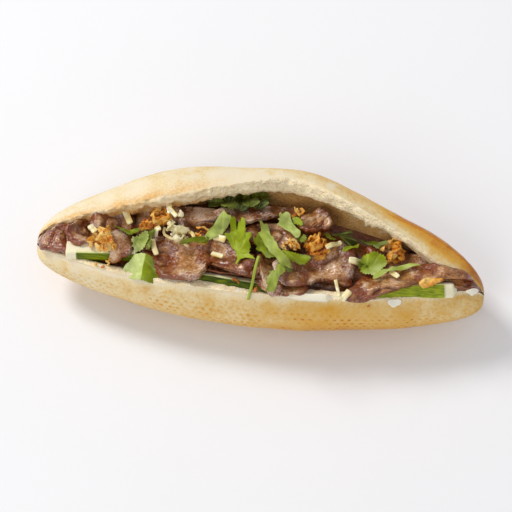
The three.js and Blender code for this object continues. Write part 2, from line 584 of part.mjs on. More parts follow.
function spread() {
  const rings = [];
  const STEPS = 11;
  for (let i = 0; i <= STEPS; i++) {
    const s = SPREAD_FROM + ((SPREAD_TO - SPREAD_FROM) * i) / STEPS;
    const [lip, foot] = innerWall(s).map(([u, v]) => [u * halfWidth(s) + axisShift(s), v * depth(s)]);
    const thick = SPREAD_THICK + DOLLOP_THICK * Math.exp(-(((s - DOLLOP_AT) / DOLLOP_REACH) ** 2));
    const down = 0.15 + 0.85 * Math.sin((Math.PI * (i + 0.5)) / (STEPS + 1)) ** 0.3;
    const on = (along, off) => [
      s * HALF_LENGTH,
      lip[0] + (foot[0] - lip[0]) * along + off * OFF_FACE[0],
      lip[1] + (foot[1] - lip[1]) * along + off * OFF_FACE[1],
    ];
    const under = [on(down, -2), on(0.06, -2)];
    rings.push([...under, on(0.06, 0.6), on(0.25, thick), on(0.6 * down, thick * 0.9), on(down, 0.5)]);
  }
  const tip = (i, step) => rings[i].reduce((sum, point) => sum.map((v, k) => v + point[k] / 6), [step, 0, 0]);
  return solid(loft(rings, tip(0, -1), tip(STEPS, 1)));
}

// The beef under the visible slices: it fills the slit up to the bed's height, with the relief of folded slices.
function bed() {
  const rings = [];
  const STEPS = 20;
  const ACROSS = 6;
  const REACH = 0.97; // how far it runs, as a share of half the roll
  const WITHIN = 0.84; // its section, as a share of the roll's
  for (let i = 1; i < STEPS; i++) {
    const s = -REACH * Math.cos((Math.PI * i) / STEPS);
    const [a, b, x] = [halfWidth(s) * WITHIN, depth(s) * WITHIN, s * HALF_LENGTH];
    const ring = [];
    for (let j = 0; j <= ACROSS; j++) {
      const p = axisShift(s) + a * (1 - (2 * j) / ACROSS);
      const relief = 0.9 * Math.sin(x * 0.32 + p * 0.5) + 0.7 * Math.sin(p * 0.37 - x * 0.21);
      ring.push([x, p, heap(x, p) - BED_DROP - GAP - Math.abs(relief)]);
    }
    for (let j = 1; j < ACROSS; j++) {
      const t = Math.PI * (1 + j / ACROSS);
      ring.push([x, axisShift(s) + a * Math.cos(t), b * Math.sin(t)]);
    }
    rings.push(ring);
  }
  const end = (s) => [s * HALF_LENGTH, axisShift(s), 0];
  return solid(loft(rings, end(-REACH - 0.015), end(REACH + 0.015)));
}

// ---- Assembly -----------------------------------------------------------------------------------

const LOOKS = {
  bread: { color: 0xe2bd7c, roughness: 0.62 },
  beef: { color: 0x7d5648, roughness: 0.38 },
  cucumber: { color: 0x6f9a2a, roughness: 0.35 },
  coriander: { color: 0x7fa52c, roughness: 0.5 },
  pickle: { color: 0xd9d7a0, roughness: 0.4 },
  shallot: { color: 0xc98526, roughness: 0.5 },
  mayonnaise: { color: 0xf3ead2, roughness: 0.25 },
};

const sandwich = new THREE.Group();
sandwich.rotation.x = LEAN * RAD;
sandwich.updateMatrixWorld(true);

function add(name, food, made) {
  const material = new THREE.MeshStandardMaterial({ ...LOOKS[food], metalness: 0 });
  const mesh = new THREE.Mesh(geometryOf(made), material);
  mesh.name = name;
  sandwich.add(mesh);
}

// Each piece rests on those before it: its parts are fused, and its top raises the map for the next.
const laid = FILLING.map(([name, food, ...parts]) => {
  const made = parts.map((part) => part());
  const fused = (grow) => made.map((part) => part.make(grow)).reduce((a, b) => a.add(b));
  const piece = { name, food, shape: fused(0), cutter: fused(GAP) };
  made.forEach((part) => part.tops.forEach(([x, p, q]) => stamp(x, p, q)));
  return piece;
});

// Every piece is cut clear of the roll and of the pieces laid on it, which stay whole.
const clearOfRoll = solid(roll(GAP));
const clearOf = (shape, others) =>
  largest(others.reduce((left, other) => left.subtract(other.cutter), shape.subtract(clearOfRoll)));

// The flat that the roll rests on is cut level once the group has leant.
const lowest = solid(roll(0)).rotate([LEAN, 0, 0]).boundingBox().min[2];
const underTheFlat = new THREE.BoxGeometry(2 * ROLL_LENGTH, 2 * ROLL_LENGTH, 40);
underTheFlat.translate(0, 0, lowest + REST_CUT - 20);
underTheFlat.rotateX(-LEAN * RAD);
add("roll", "bread", solid(roll(0)).subtract(solid(underTheFlat)));

laid.forEach((piece, i) => add(piece.name, piece.food, clearOf(piece.shape, laid.slice(i + 1))));
add("mayonnaise", "mayonnaise", clearOf(spread(), laid));
add("beef_bed", "beef", clearOf(bed(), [...laid, { cutter: spread() }]));

// The origin is under the middle of the whole, on the surface that it rests on.
const bounds = new THREE.Box3().setFromObject(sandwich, true);
sandwich.position.set(
  -(bounds.min.x + bounds.max.x) / 2,
  -(bounds.min.y + bounds.max.y) / 2,
  -bounds.min.z,
);

export default sandwich;
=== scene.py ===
import bpy
import numpy as np
from mathutils import Matrix, Vector


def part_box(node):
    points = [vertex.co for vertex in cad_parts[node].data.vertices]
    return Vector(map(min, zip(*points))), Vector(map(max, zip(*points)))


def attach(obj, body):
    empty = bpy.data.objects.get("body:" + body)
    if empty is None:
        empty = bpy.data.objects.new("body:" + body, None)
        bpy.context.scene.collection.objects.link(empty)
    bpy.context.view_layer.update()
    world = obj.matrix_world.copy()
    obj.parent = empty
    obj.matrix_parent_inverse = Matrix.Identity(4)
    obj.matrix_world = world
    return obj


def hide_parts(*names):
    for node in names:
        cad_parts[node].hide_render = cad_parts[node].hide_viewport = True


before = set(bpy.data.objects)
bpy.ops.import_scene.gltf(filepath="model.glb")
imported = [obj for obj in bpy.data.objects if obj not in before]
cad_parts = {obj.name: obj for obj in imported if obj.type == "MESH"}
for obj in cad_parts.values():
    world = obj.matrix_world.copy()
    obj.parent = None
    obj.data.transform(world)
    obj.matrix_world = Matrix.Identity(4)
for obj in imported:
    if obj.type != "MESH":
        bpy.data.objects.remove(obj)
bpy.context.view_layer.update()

# ---- The bread ---------------------------------------------------------------------------------------------
# One long roll of wheat dough, proved, scored near its back and baked on a dimpled tray, then slit along the
# front and opened. Thin crust, pale on the left and golden to the right, with white porous crumb where it was
# cut.

MM_PER_METRE = 1000.0
HALF_LENGTH = 125.0
HALF_WIDTH = 45.4
DEPTH_SHARE = 0.69
BLUNTNESS = 0.33
WAIST = 0.42
CUT_FACE = 0.22
CUT_SLOPE = 1.3
LEAN = np.radians(15)
REST_CUT = 1.4
FRONT_LIP = [(-1, 58), (-0.6, 45.5), (0.4, 45.5), (0.65, 53), (0.85, 68), (1, 92)]
BACK_LIP = [(-1, 62), (-0.6, 65), (-0.3, 58), (-0.05, 45), (0.08, 37), (0.22, 40), (0.45, 50), (0.62, 58),
            (0.8, 72), (1, 70)]
CREST = [(-1, 0), (-0.72, -1), (-0.45, 1), (-0.1, -1.2), (0.2, 1.4), (0.5, -1.6), (0.85, 1.8), (1, 0)]


def table(rows, x):
    """The smooth line through rows of (place, value), read at x: between two rows a cubic whose slope at each
    row is the slope between that row's neighbours."""
    place, value = np.array(rows, float).T
    slope = np.empty_like(value)
    slope[1:-1] = (value[2:] - value[:-2]) / (place[2:] - place[:-2])
    slope[0] = (value[1] - value[0]) / (place[1] - place[0])
    slope[-1] = (value[-1] - value[-2]) / (place[-1] - place[-2])
    i = np.clip(np.searchsorted(place, x) - 1, 0, len(place) - 2)
    span = place[i + 1] - place[i]
    t = np.clip((x - place[i]) / span, 0, 1)
    rising = t * t * (3 - 2 * t)
    start = slope[i] * span * (t ** 3 - 2 * t * t + t)
    end = slope[i + 1] * span * (t ** 3 - t * t)
    return value[i] * (1 - rising) + value[i + 1] * rising + start + end


def smooth(x, low, high):
    """0 below low, 1 above high, and a cubic with level ends between them."""
    t = np.clip((x - low) / (high - low), 0, 1)
    return t * t * (3 - 2 * t)


def band(x, low, rise_end, fall_start, high):
    """0 below low and above high, 1 between the two ends within, and smooth steps up and down to it."""
    return smooth(x, low, rise_end) * (1 - smooth(x, fall_start, high))


def grain(size, seed, *coordinates):
    """Smooth noise from -1 to 1: each corner of a lattice of the given cell size holds a number hashed from
    its indices and the seed, and a point takes the smooth blend of the corners of its cell."""
    at = np.stack(np.broadcast_arrays(*coordinates), -1) / size
    cell = np.floor(at).astype(np.int64)
    part = at - cell
    part = part * part * (3 - 2 * part)
    total = 0.0
    for corner in np.ndindex(*(2,) * at.shape[-1]):
        index = cell + corner
        mixed = (index * (73856093, 19349663, 83492791)[: at.shape[-1]]).sum(-1) + seed * 2654435761
        mixed = (mixed ^ (mixed >> 15)) * 2246822519
        mixed = (mixed ^ (mixed >> 13)) * 3266489917
        drawn = ((mixed ^ (mixed >> 16)) & 65535) / 32767.5 - 1
        total = total + drawn * np.where(corner, part, 1 - part).prod(-1)
    return total


def rough(size, seed, *coordinates, octaves=4):
    """Rough noise: a sum of smooth noises, each half the size and half the height of the one before."""
    return sum(grain(size / 2 ** k, seed + 17 * k, *coordinates) / 2 ** k for k in range(octaves))


def spindle(s):
    """Width of the roll along it as a share of its middle: a blunt ellipse that also narrows as the square of
    s."""
    return np.maximum(0, 1 - s * s) ** BLUNTNESS * (1 - 0.035 * s - WAIST * s * s)


def half_width(s):
    """Half of the roll's width at s, which runs from -1 at its left end to 1 at its right."""
    return HALF_WIDTH * spindle(s)


def depth(s):
    """Depth of the roll's section below its axis."""
    return DEPTH_SHARE * half_width(s)


def axis_shift(s):
    """How far the roll's axis bends towards its front: a cubic in s."""
    return -1.5 * s - 13.2 * s * s - 1.5 * s ** 3


def through(points, steps, closed=True):
    """Catmull-Rom curve through points on the next to last axis, with so many steps to each span."""
    count = points.shape[-2]
    spans = count if closed else count - 1
    where = np.arange(spans * steps + (not closed)) / steps
    first = np.minimum(where.astype(int), spans - 1)
    t = (where - first)[:, None]
    pick = [first + k for k in (-1, 0, 1, 2)]
    pick = [i % count if closed else np.clip(i, 0, count - 1) for i in pick]
    a, b, c, d = (points[..., i, :] for i in pick)
    curve = 2 * b + (c - a) * t + (2 * a - 5 * b + 4 * c - d) * t * t + (3 * b - a - 3 * c + d) * t ** 3
    return curve / 2


def inner_wall(s):
    """Inner wall of the slit from the front lip to the back lip as shares of the half width and depth: the
    cut face, the floor, and the hollow and crumb edge under the back half. One row for each s."""
    front = np.radians(table(FRONT_LIP, s))
    back = np.radians(table(BACK_LIP, s))
    front_u, front_v, back_u, back_v = -np.cos(front), np.sin(front), np.cos(back), np.sin(back)
    even = np.ones_like(s)
    wall = [
        (front_u, front_v),
        (front_u * 0.97, front_v),
        (front_u * (1 - CUT_FACE), front_v - CUT_SLOPE * CUT_FACE * np.cos(front)),
        (-0.53 * even, -0.05 * even),
        (-0.34 * even, -0.5 * even),
        (0.05 * even, -0.66 * even),
        (0.44 * even, -0.46 * even),
        (0.68 * even, -0.02 * even),
        (np.minimum(0.7, back_u - 0.04), np.minimum(0.24, back_v - 0.2)),
        (back_u * 0.83, back_v - 0.2),
        (back_u * 0.97, back_v - 0.02),
        (back_u, back_v),
    ]
    return np.moveaxis(np.array(wall), 2, 0)


def turned(u, v, angle):
    """Two coordinates turned by an angle: they mix by its sine and cosine."""
    return u * np.cos(angle) - v * np.sin(angle), u * np.sin(angle) + v * np.cos(angle)


def even_stations(count):
    """Values of s at even steps along the roll's outline, which is finest where the ends round off."""
    s = -np.cos(np.linspace(0, np.pi, 4001))
    walked = np.append(0, np.cumsum(np.hypot(np.diff(s) * HALF_LENGTH, np.diff(half_width(s)))))
    return np.interp(np.linspace(0, walked[-1], count + 2)[1:-1], walked, s)


def evened(rings, times):
    """Rings with their corners rounded: each point moves to the mean of itself and its neighbours, many
    times."""
    for _ in range(times):
        rings = (np.roll(rings, 1, 1) + 2 * rings + np.roll(rings, -1, 1)) / 4
    return rings


def normals_of(rings):
    """Unit normals of a grid of rings: the cross product of its slopes round and along."""
    round_slope = np.roll(rings, -1, 1) - np.roll(rings, 1, 1)
    along_slope = np.gradient(rings, axis=0)
    normal = np.cross(round_slope, along_slope)
    return normal / np.maximum(np.linalg.norm(normal, axis=-1, keepdims=True), 1e-9)


STATIONS = 345
s = even_stations(STATIONS)[:, None]
front, back = table(FRONT_LIP, s), table(BACK_LIP, s)
# The crust from the back lip round under the hinge to the front lip, finest where it shows.
share = np.concatenate([np.linspace(0, 0.33, 90, False), np.linspace(0.33, 0.68, 34, False),
                        np.linspace(0.68, 1, 76)])
turn = back - (back + 180 + front) * share
crest = table(CREST, s) * np.maximum(0, np.cos(np.radians(turn)))
crust_line = np.stack([(half_width(s) + crest) * np.cos(np.radians(turn)),
                       (depth(s) + crest) * np.sin(np.radians(turn))], -1)
# The inside from the front lip to the back lip: how many points each of its spans takes. The first span
# starts past the lip, where the crust ends.
SPAN_POINTS = (2, 18, 6, 3, 3, 3, 5, 8, 14, 18, 2)
FINE_STEPS = 24
span_at = np.concatenate([k + (np.arange(n) + (k == 0)) / (n + (k == 0)) for k, n in enumerate(SPAN_POINTS)])
fine = through(inner_wall(s[:, 0]), FINE_STEPS, closed=False) * np.stack([half_width(s), depth(s)], -1)
inside_line = np.stack([np.array([np.interp(span_at * FINE_STEPS, np.arange(fine.shape[1]), row[:, k])
                                  for row in fine]) for k in (0, 1)], -1)
section = np.concatenate([crust_line, inside_line], 1)
# The back lip is soft and round on the left, and cut sharp from the middle to the right.
roundness = smooth(-s, 0.2, 0.42)[..., None]
section = evened(section, 4) * (1 - roundness) + evened(section, 36) * roundness
rings = np.concatenate([np.broadcast_to((s * HALF_LENGTH)[..., None], section.shape[:2] + (1,)), section], -1)
rings[..., 1] += axis_shift(s)

x, p, q = np.moveaxis(rings, -1, 0)
outside = np.arange(section.shape[1]) < len(share)
turn = np.concatenate([turn, np.zeros((STATIONS, len(span_at)))], 1)
span = np.concatenate([np.full(len(share), -1.0), span_at])
on_back = outside * smooth(turn, -75, -35)
on_front = outside * smooth(-turn, 115, 150)
beneath = outside * (1 - on_back) * (1 - on_front)

# Where the crumb shows white and rough: the back edge from the middle to the right, and the front cut face.
back_edge = smooth(span, 8.1, 8.6) * smooth(s, -0.34, -0.16) * (1 - smooth(s, 0.62, 0.85) * 0.8)
crumb = (~outside) * np.clip(smooth(span, 0.5, 1.1) * (span < 3) * 0.75 + back_edge, 0, 1)
crumb = evened(crumb[..., None], 2)[..., 0]
# The score near the back: a low ridge with a groove beside it.
score = band(s, 0.42, 0.6, 0.9, 0.98) * on_back
score_line = 30 + 2 * np.sin(7 * s) + 1.5 * grain(9, 41, x)
ridge = score * np.exp(-((turn - score_line) / 2.6) ** 2)
groove = score * np.exp(-((turn - score_line - 6) / 3) ** 2)
# Dimples of the tray: short dashes in rows round the lower crust, fainter where the dough didn't touch.
ROW_DEGREES = 6.2
DASH_LENGTH = 4.2
row_at = turn / ROW_DEGREES
dash_at = x / DASH_LENGTH + np.floor(row_at) * 0.5 + 0.2 * grain(9, 5, x, turn)
lower = on_front * (1 - smooth(-turn, 202, 215)) + beneath * 0.8
dimple = np.clip(np.cos(2 * np.pi * dash_at), 0, 1) ** 0.7 * np.clip(-np.cos(2 * np.pi * row_at), 0, 1)
dimple = outside * lower * smooth(dimple, 0.16, 0.6) * np.clip(0.75 + 1.3 * grain(9, 8, x, turn), 0, 1)

# The lower rim of the back's crumb is ragged.
edge_rag = np.exp(-((span - 8.4) / 0.5) ** 2)
normal = normals_of(rings)
swell = 0.55 * grain(26, 1, x, p, q) + 0.22 * grain(9, 2, x, p, q) + 0.07 * rough(2.6, 3, x, p, q)
torn = 0.5 * rough(3, 4, x, p, q) - 0.5 * np.clip(grain(1.5, 6, x, p, q), 0.3, 1)
torn = torn + (1.2 + 0.8 * smooth(s, 0.2, 0.5)) * edge_rag * rough(3, 7, x)
lip_rag = (~outside) * smooth(-s, 0.1, 0.3) * band(span, 7.4, 8.3, 10.0, 10.8)
push = outside * (swell + 0.3 * dimple) + 1.5 * ridge - 0.9 * groove + crumb * torn + (~outside) * 0.3 * swell
push = push + lip_rag * (1.1 * rough(2.8, 15, x, p, q) + 0.5 * grain(7, 16, x))
ends = smooth(1 - np.abs(s), 0, 0.02)
rings = rings + normal * (push * ends)[..., None]


def leant(points):
    """Points turned about x by the lean."""
    x, p, q = np.moveaxis(points, -1, 0)
    return np.stack([x, *turned(p, q, LEAN)], -1)


# Where the sandwich stands: its front touches the front of the frame's box, and the roll's lowest line lies
# under the floor by the depth of the flat it rests on.
full_turn = np.radians(np.arange(0, 360.5, 0.5))
even_section = HALF_WIDTH * np.cos(full_turn), DEPTH_SHARE * HALF_WIDTH * np.sin(full_turn)
box_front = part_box("roll")[0][1] * MM_PER_METRE
STANDS_AT = np.array([0, box_front - leant(rings)[..., 1].min(), -REST_CUT - turned(*even_section, LEAN)[1].min()])


def skin(rings, **marks):
    """A closed surface from rings of points: quads between neighbouring rings, and at each end a fan to the
    middle of the last ring. If its volume comes out negative, its faces are turned round. Marks are values
    for each point."""
    count, size = rings.shape[:2]
    points = np.concatenate([rings.reshape(-1, 3), rings[:1].mean(1), rings[-1:].mean(1)])
    i, j = np.meshgrid(np.arange(count - 1), np.arange(size), indexing="ij")
    k = (j + 1) % size
    quads = np.stack([i * size + j, i * size + k, (i + 1) * size + k, (i + 1) * size + j], -1).reshape(-1, 4)
    j, k, last = j[0], k[0], (count - 1) * size
    fans = np.concatenate([np.stack([0 * j + count * size, k, j], -1),
                           np.stack([0 * j + count * size + 1, last + j, last + k], -1)])
    a, b, c, d = (points[quads[:, n]] - points[0] for n in range(4))
    volume = (np.cross(a, b) * c).sum() + (np.cross(a, c) * d).sum()
    if volume < 0:
        quads, fans = quads[:, ::-1], fans[:, ::-1]
    values = {}
    for name, mark in marks.items():
        mark = np.broadcast_to(mark, (count, size))
        values[name] = np.concatenate([mark.ravel(), [mark[0].mean(), mark[-1].mean()]])
    return points, quads, fans, values


def serve(name, food, skins, node=None):
    """One mesh object in metres from closed surfaces in millimetres, leant and stood on the floor. It rides
    on the body, and stands for the node if one is given. A food is its slot, its word for a piece and its
    finish."""
    slot, _, finish = food
    offset = 0
    points, corners, sizes = [], [], []
    for place, quads, fans, _ in skins:
        points.append(place)
        corners += [(quads + offset).ravel(), (fans + offset).ravel()]
        sizes += [np.full(len(quads), 4), np.full(len(fans), 3)]
        offset += len(place)
    points, corners, sizes = np.concatenate(points), np.concatenate(corners), np.concatenate(sizes)
    placed = (leant(points) + STANDS_AT) / MM_PER_METRE
    placed[:, 2] = np.maximum(placed[:, 2], 0)
    mesh = bpy.data.meshes.new(name)
    mesh.vertices.add(len(placed))
    mesh.vertices.foreach_set("co", placed.ravel())
    mesh.loops.add(len(corners))
    mesh.loops.foreach_set("vertex_index", corners.astype(np.int32))
    mesh.polygons.add(len(sizes))
    mesh.polygons.foreach_set("loop_start", np.append(0, np.cumsum(sizes)[:-1]).astype(np.int32))
    mesh.polygons.foreach_set("use_smooth", np.ones(len(sizes), bool))
    mesh.update(calc_edges=True)
    mesh.validate()
    for mark in skins[0][3]:
        values = np.concatenate([each[3][mark] for each in skins])
        mesh.attributes.new(mark, "FLOAT", "POINT").data.foreach_set("value", values.astype(np.float32))
    mesh.materials.append(finish)
    piece = bpy.data.objects.new(name, mesh)
    bpy.context.scene.collection.objects.link(piece)
    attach(piece, "root")
    if node:
        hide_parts(node)


class Value:
    """An output of a node. Sums, differences, products and the methods below add nodes to its tree, and each
    gives a new value."""

    def __init__(self, socket):
        self.socket, self.tree = socket, socket.id_data

    def math(self, operation, other):
        """This value joined to another by an operation."""
        return add(self.tree, "ShaderNodeMath", {0: self, 1: other}, operation=operation)

    def __add__(self, other):
        return self.math("ADD", other)

    def __sub__(self, other):
        return self.math("SUBTRACT", other)

    def __mul__(self, other):
        return self.math("MULTIPLY", other)

    def ranged(self, low, high, to_low=0.0, to_high=1.0):
        """Its range low to high spread over another, and held at its ends."""
        inputs = {"Value": self, "From Min": low, "From Max": high, "To Min": to_low, "To Max": to_high}
        return add(self.tree, "ShaderNodeMapRange", inputs)

    def mixed(self, one, other):
        """One colour turned into another by this share."""
        one, other = (value if isinstance(value, Value) else (*value, 1) for value in (one, other))
        return add(self.tree, "ShaderNodeMix", {0: self, 6: one, 7: other}, output=2, data_type="RGBA")

    def shades(self, *stops):
        """The colour at this place in a row of (place, colour) stops."""
        ramp = add(self.tree, "ShaderNodeValToRGB", {0: self})
        row = ramp.socket.node.color_ramp.elements
        while len(row) < len(stops):
            row.new(0.5)
        for element, (place, _) in zip(row, stops):
            element.position = place
        for element, (_, colour) in zip(row, stops):
            element.color = (*colour, 1)
        return ramp

    def noise(self, scale, detail=3.0, distortion=0.0):
        """Noise from 0 to 1 of so many cells to the metre, where this value is a place."""
        inputs = {"Vector": self, "Scale": scale, "Detail": detail, "Distortion": distortion}
        return add(self.tree, "ShaderNodeTexNoise", inputs)

    def mark(self, name):
        """A value that the mesh carries for each of its points."""
        return add(self.tree, "ShaderNodeAttribute", output="Fac", attribute_name=name)

    def mottled(self, blotch_mm, speckle_mm):
        """The shared group at this place, with its sizes in millimetres: blotch, speckle and height."""
        inputs = {"Place": self, "Blotch Size": blotch_mm, "Speckle Size": speckle_mm}
        group = add(self.tree, "ShaderNodeGroup", inputs, node_tree=MOTTLED).socket.node
        return [Value(group.outputs[key]) for key in ("Blotch", "Speckle", "Height")]


def add(tree, kind, inputs=None, output=0, **settings):
    """An output of a new node, whose inputs take values from other nodes or plain ones."""
    made = tree.nodes.new(kind)
    for key, value in settings.items():
        setattr(made, key, value)
    for key, value in (inputs or {}).items():
        if isinstance(value, Value):
            tree.links.new(value.socket, made.inputs[key])
        else:
            made.inputs[key].default_value = value
    return Value(made.outputs[output])


def speckle_group():
    """Shared by all the food: blotches, fine speckle and a height for the bump, from two sizes of noise."""
    group = bpy.data.node_groups.new("mottled_skin", "ShaderNodeTree")
    for name, kind, way in (("Place", "NodeSocketVector", "INPUT"), ("Blotch Size", "NodeSocketFloat", "INPUT"),
                            ("Speckle Size", "NodeSocketFloat", "INPUT"), ("Blotch", "NodeSocketFloat", "OUTPUT"),
                            ("Speckle", "NodeSocketFloat", "OUTPUT"), ("Height", "NodeSocketFloat", "OUTPUT")):
        group.interface.new_socket(name=name, in_out=way, socket_type=kind)
    given = group.nodes.new("NodeGroupInput").outputs
    result = group.nodes.new("NodeGroupOutput").inputs
    per_metre = [add(group, "ShaderNodeMath", {0: MM_PER_METRE, 1: Value(given[size])}, operation="DIVIDE")
                 for size in ("Blotch Size", "Speckle Size")]
    blotch = Value(given["Place"]).noise(per_metre[0], 3.0, 0.4)
    speckle = Value(given["Place"]).noise(per_metre[1], 4.0)
    for key, value in (("Blotch", blotch.ranged(0.3, 0.7)), ("Speckle", speckle.ranged(0.3, 0.7)),
                       ("Height", blotch * 0.4 + speckle * 0.6)):
        group.links.new(value.socket, result[key])
    return group


MOTTLED = speckle_group()


def finish_of(name):
    """A new material and its object coordinates."""
    material = bpy.data.materials.new(name)
    material.use_nodes = True
    return material, add(material.node_tree, "ShaderNodeTexCoord", output="Object")


def finished(material, colour, roughness, relief, bump, specular=0.5, soft=(), coat=()):
    """The material with its colour, roughness and relief linked to the shader. A bump is its strength and
    distance, soft is how light passes into the food: weight, radius and scale, and coat is a weight and a
    roughness. What is the same all over is set on the shader's own sockets."""
    tree = material.node_tree
    shader = tree.nodes["Principled BSDF"]
    raised = add(tree, "ShaderNodeBump", {"Height": relief, "Strength": bump[0], "Distance": bump[1]})
    for key, value in (("Base Color", colour), ("Roughness", roughness), ("Normal", raised)):
        tree.links.new(value.socket, shader.inputs[key])
    shader.inputs["Specular IOR Level"].default_value = specular
    for key, value in zip(("Subsurface Weight", "Subsurface Radius", "Subsurface Scale"), soft):
        shader.inputs[key].default_value = value
    for key, value in zip(("Coat Weight", "Coat Roughness"), coat):
        shader.inputs[key].default_value = value
    return material


def bread_finish():
    """Crust from pale cream to amber by how far it is baked, with toasted freckles and a painted highlight along the
    score's ridge; crumb, with painted shade in its pores, and crumb soaked with juice. The tan under the left back
    lip is partly toast and partly painted shade."""
    material, place = finish_of("bread")
    blotch, speckle, height = place.mottled(11.0, 1.3)
    bake = place.mark("bake") + blotch.ranged(0, 1, -0.11, 0.11) + speckle.ranged(0, 1, -0.07, 0.07)
    toasted = bake + place.mark("dimple") * 0.45
    crust = toasted.shades((0.0, (0.84, 0.73, 0.52)), (0.18, (0.81, 0.65, 0.36)), (0.4, (0.74, 0.50, 0.18)),
                           (0.65, (0.71, 0.38, 0.045)), (0.85, (0.61, 0.25, 0.02)), (1.0, (0.48, 0.16, 0.012)))
    freckle = place.noise(480.0, 1.0).ranged(0.51, 0.66, 0, 0.7) * bake.ranged(0.05, 0.4)
    freckle = freckle * bake.ranged(0.45, 0.8, 1.0, 0.15)
    crust = freckle.mixed(crust, (0.70, 0.39, 0.075))
    # Painted shade: the crumb is coloured darker and oranger in the pits of its pores, where the relief is low.
    cells = {"Vector": place, "Scale": 800.0, "Randomness": 1.0}
    pore = add(place.tree, "ShaderNodeTexVoronoi", cells, output="Distance").ranged(0.05, 0.5)
    crumb = pore.mixed((0.84, 0.60, 0.30), (0.97, 0.80, 0.50))
    crumb = speckle.ranged(0.2, 1, 0, 0.75).mixed(crumb, (0.99, 0.90, 0.70))
    skin_share = place.mark("crust")
    stain = place.mark("stain") * blotch.ranged(0, 1, 0.7, 1.3)
    soaked = stain.shades((0.25, (0.88, 0.66, 0.34)), (0.6, (0.82, 0.50, 0.17)), (1.0, (0.64, 0.32, 0.09)))
    soaked = speckle.ranged(0.2, 1, 0, 0.4).mixed(soaked, (0.40, 0.15, 0.03))
    colour = stain.ranged(0, 0.5).mixed(skin_share.mixed(crumb, crust), soaked)
    dull = skin_share.ranged(0, 1, 0.9, 0.58) - bake.ranged(0.3, 0.8, 0.0, 0.28)
    relief = (height + pore * 0.5) * skin_share.ranged(0, 1, 1.0, 0.2)
    return finished(material, colour, dull, relief, (0.9, 0.0008), specular=0.35,
                    soft=(0.1, (1.0, 0.55, 0.2), 0.002))


# How far each part of the crust is baked, from 0, pale cream, to 1, dark amber, and less along the score's ridge,
# where the pale line is a painted highlight.
blotches = 0.09 * grain(12, 31, x, p, q) + 0.07 * grain(5, 32, x, p, q)
from_lip_down = smooth(back - turn, 2, 22)
back_bake = 0.02 + 0.17 * smooth(s, -0.12, 0.28) + 0.2 * smooth(-turn, -40, -8)
back_bake = back_bake + (0.12 * smooth(s, 0.1, 0.45) + 0.43 * smooth(s, 0.4, 0.7)) * from_lip_down
# Painted highlight: the bake is lowered along the ridge to paint a pale sheen line on it.
back_bake = back_bake + 0.3 * smooth(s, 0.84, 0.97) + 0.25 * groove - 0.2 * ridge
back_bake = back_bake + 0.12 * score * smooth(score_line - turn, 1, 5)
front_bake = 0.12 + 0.31 * np.exp(-((s - 0.42) / 0.38) ** 2) + 0.12 * smooth(s, -0.9, -0.4)
front_bake = front_bake + 0.15 * smooth(s, 0.85, 1)
front_bake = front_bake + 0.2 * smooth(turn, -205, -168) - 0.22 * (1 - smooth(turn + 180 + front, 1, 9))
bake = on_back * back_bake + on_front * front_bake + beneath * 0.6 + outside * blotches
# How far the inside is soaked: the floor and the hollow wholly, the left of the back edge and the cut face
# partly.
left_edge = smooth(-s, 0.15, 0.35) * 0.34 * band(span, 7.4, 8.2, 10.6, 11.6)
left_edge = left_edge * np.clip(0.9 + 0.5 * grain(7, 13, x) + 0.4 * rough(2, 14, x, p, q), 0, 1.4)
soak = band(span, 1.7, 2.3, 7.6, 8.4) * (0.95 - 0.3 * smooth(span, 6.2, 7.2)) + left_edge
soak = soak + 0.25 * band(span, 8.0, 8.5, 8.7, 9.4)
soak = soak * (1 - 0.3 * smooth(s, 0.15, 0.45) * smooth(span, 5, 6.5))
soak = (~outside) * np.clip(soak + 0.25 * (span < 2.3) * grain(7, 12, x, p, q), 0, 1)
from_lip = np.concatenate([share, np.ones(len(span_at))])
# Outside, the crust just under the back lip on the left is stained tan, partly as toast and partly as painted shade
# where the lip curves in.
soak = soak + 0.5 * outside * smooth(-from_lip, -0.055, -0.005) * smooth(-s, 0.1, 0.35)
soak = evened(soak[..., None], 4)[..., 0]
crust_share = np.where(outside, 1.0, 0.0) + (~outside) * smooth(-s, 0.2, 0.38) * smooth(span, 8.2, 8.8)
crust_share = evened(np.clip(crust_share, 0, 1)[..., None], 3)[..., 0]

BREAD = "bread", "baked", bread_finish()
serve("roll_baked", BREAD, [skin(rings, bake=bake, dimple=dimple, crust=crust_share, stain=soak)], "roll")

# ---- The cucumber ------------------------------------------------------------------------------------------
# Sticks cut lengthwise from a cucumber: pale wet flesh with a flat cut top, and a strip of dark green skin
# along the front. They lie in the slit on the front half of the roll, and the other filling rests on them.

CELL = 0.5
GAP = 0.35
CROWN = 16.5
CROWN_P = -8
BED_DROP = 8
X_AT = np.arange(-133, 133 + CELL, CELL)
P_AT = np.arange(-54, 54 + CELL, CELL)


def heap(x, p):
    """Height of the finished filling: a crown over the roll's width, falling as the square of the distance
    from its line, faster towards the back."""
    s = np.minimum(np.abs(x / HALF_LENGTH), 1)
    off = p - axis_shift(s) - CROWN_P
    return spindle(s) ** 0.7 * (CROWN - np.where(off > 0, 13 * (off / 32) ** 2, 3 * (off / 25) ** 2))


def front_half(x, p):
    """Height of the crust and cut face of the roll's front half, or far down where there is none."""
    s = np.clip(x / HALF_LENGTH, -0.989, 0.989)
    share = (p - axis_shift(s)) / half_width(s)
    lip = np.cos(np.radians(table(FRONT_LIP, s)))
    crust = np.sqrt(np.maximum(0, 1 - share * share))
    face = np.sqrt(np.maximum(0, 1 - lip * lip)) - CUT_SLOPE * (share + lip)
    height = depth(s) * np.where(share < -lip, crust, face)
    outside = (share < -1) | (share > -0.6 * lip) | (np.abs(x) >= 0.99 * HALF_LENGTH)
    return np.where(outside, -99, height)


# The map of how high the filling stands so far, one value for each cell of x and p.
heaped = np.maximum(heap(X_AT, P_AT[:, None]) - BED_DROP, front_half(X_AT, P_AT[:, None]))


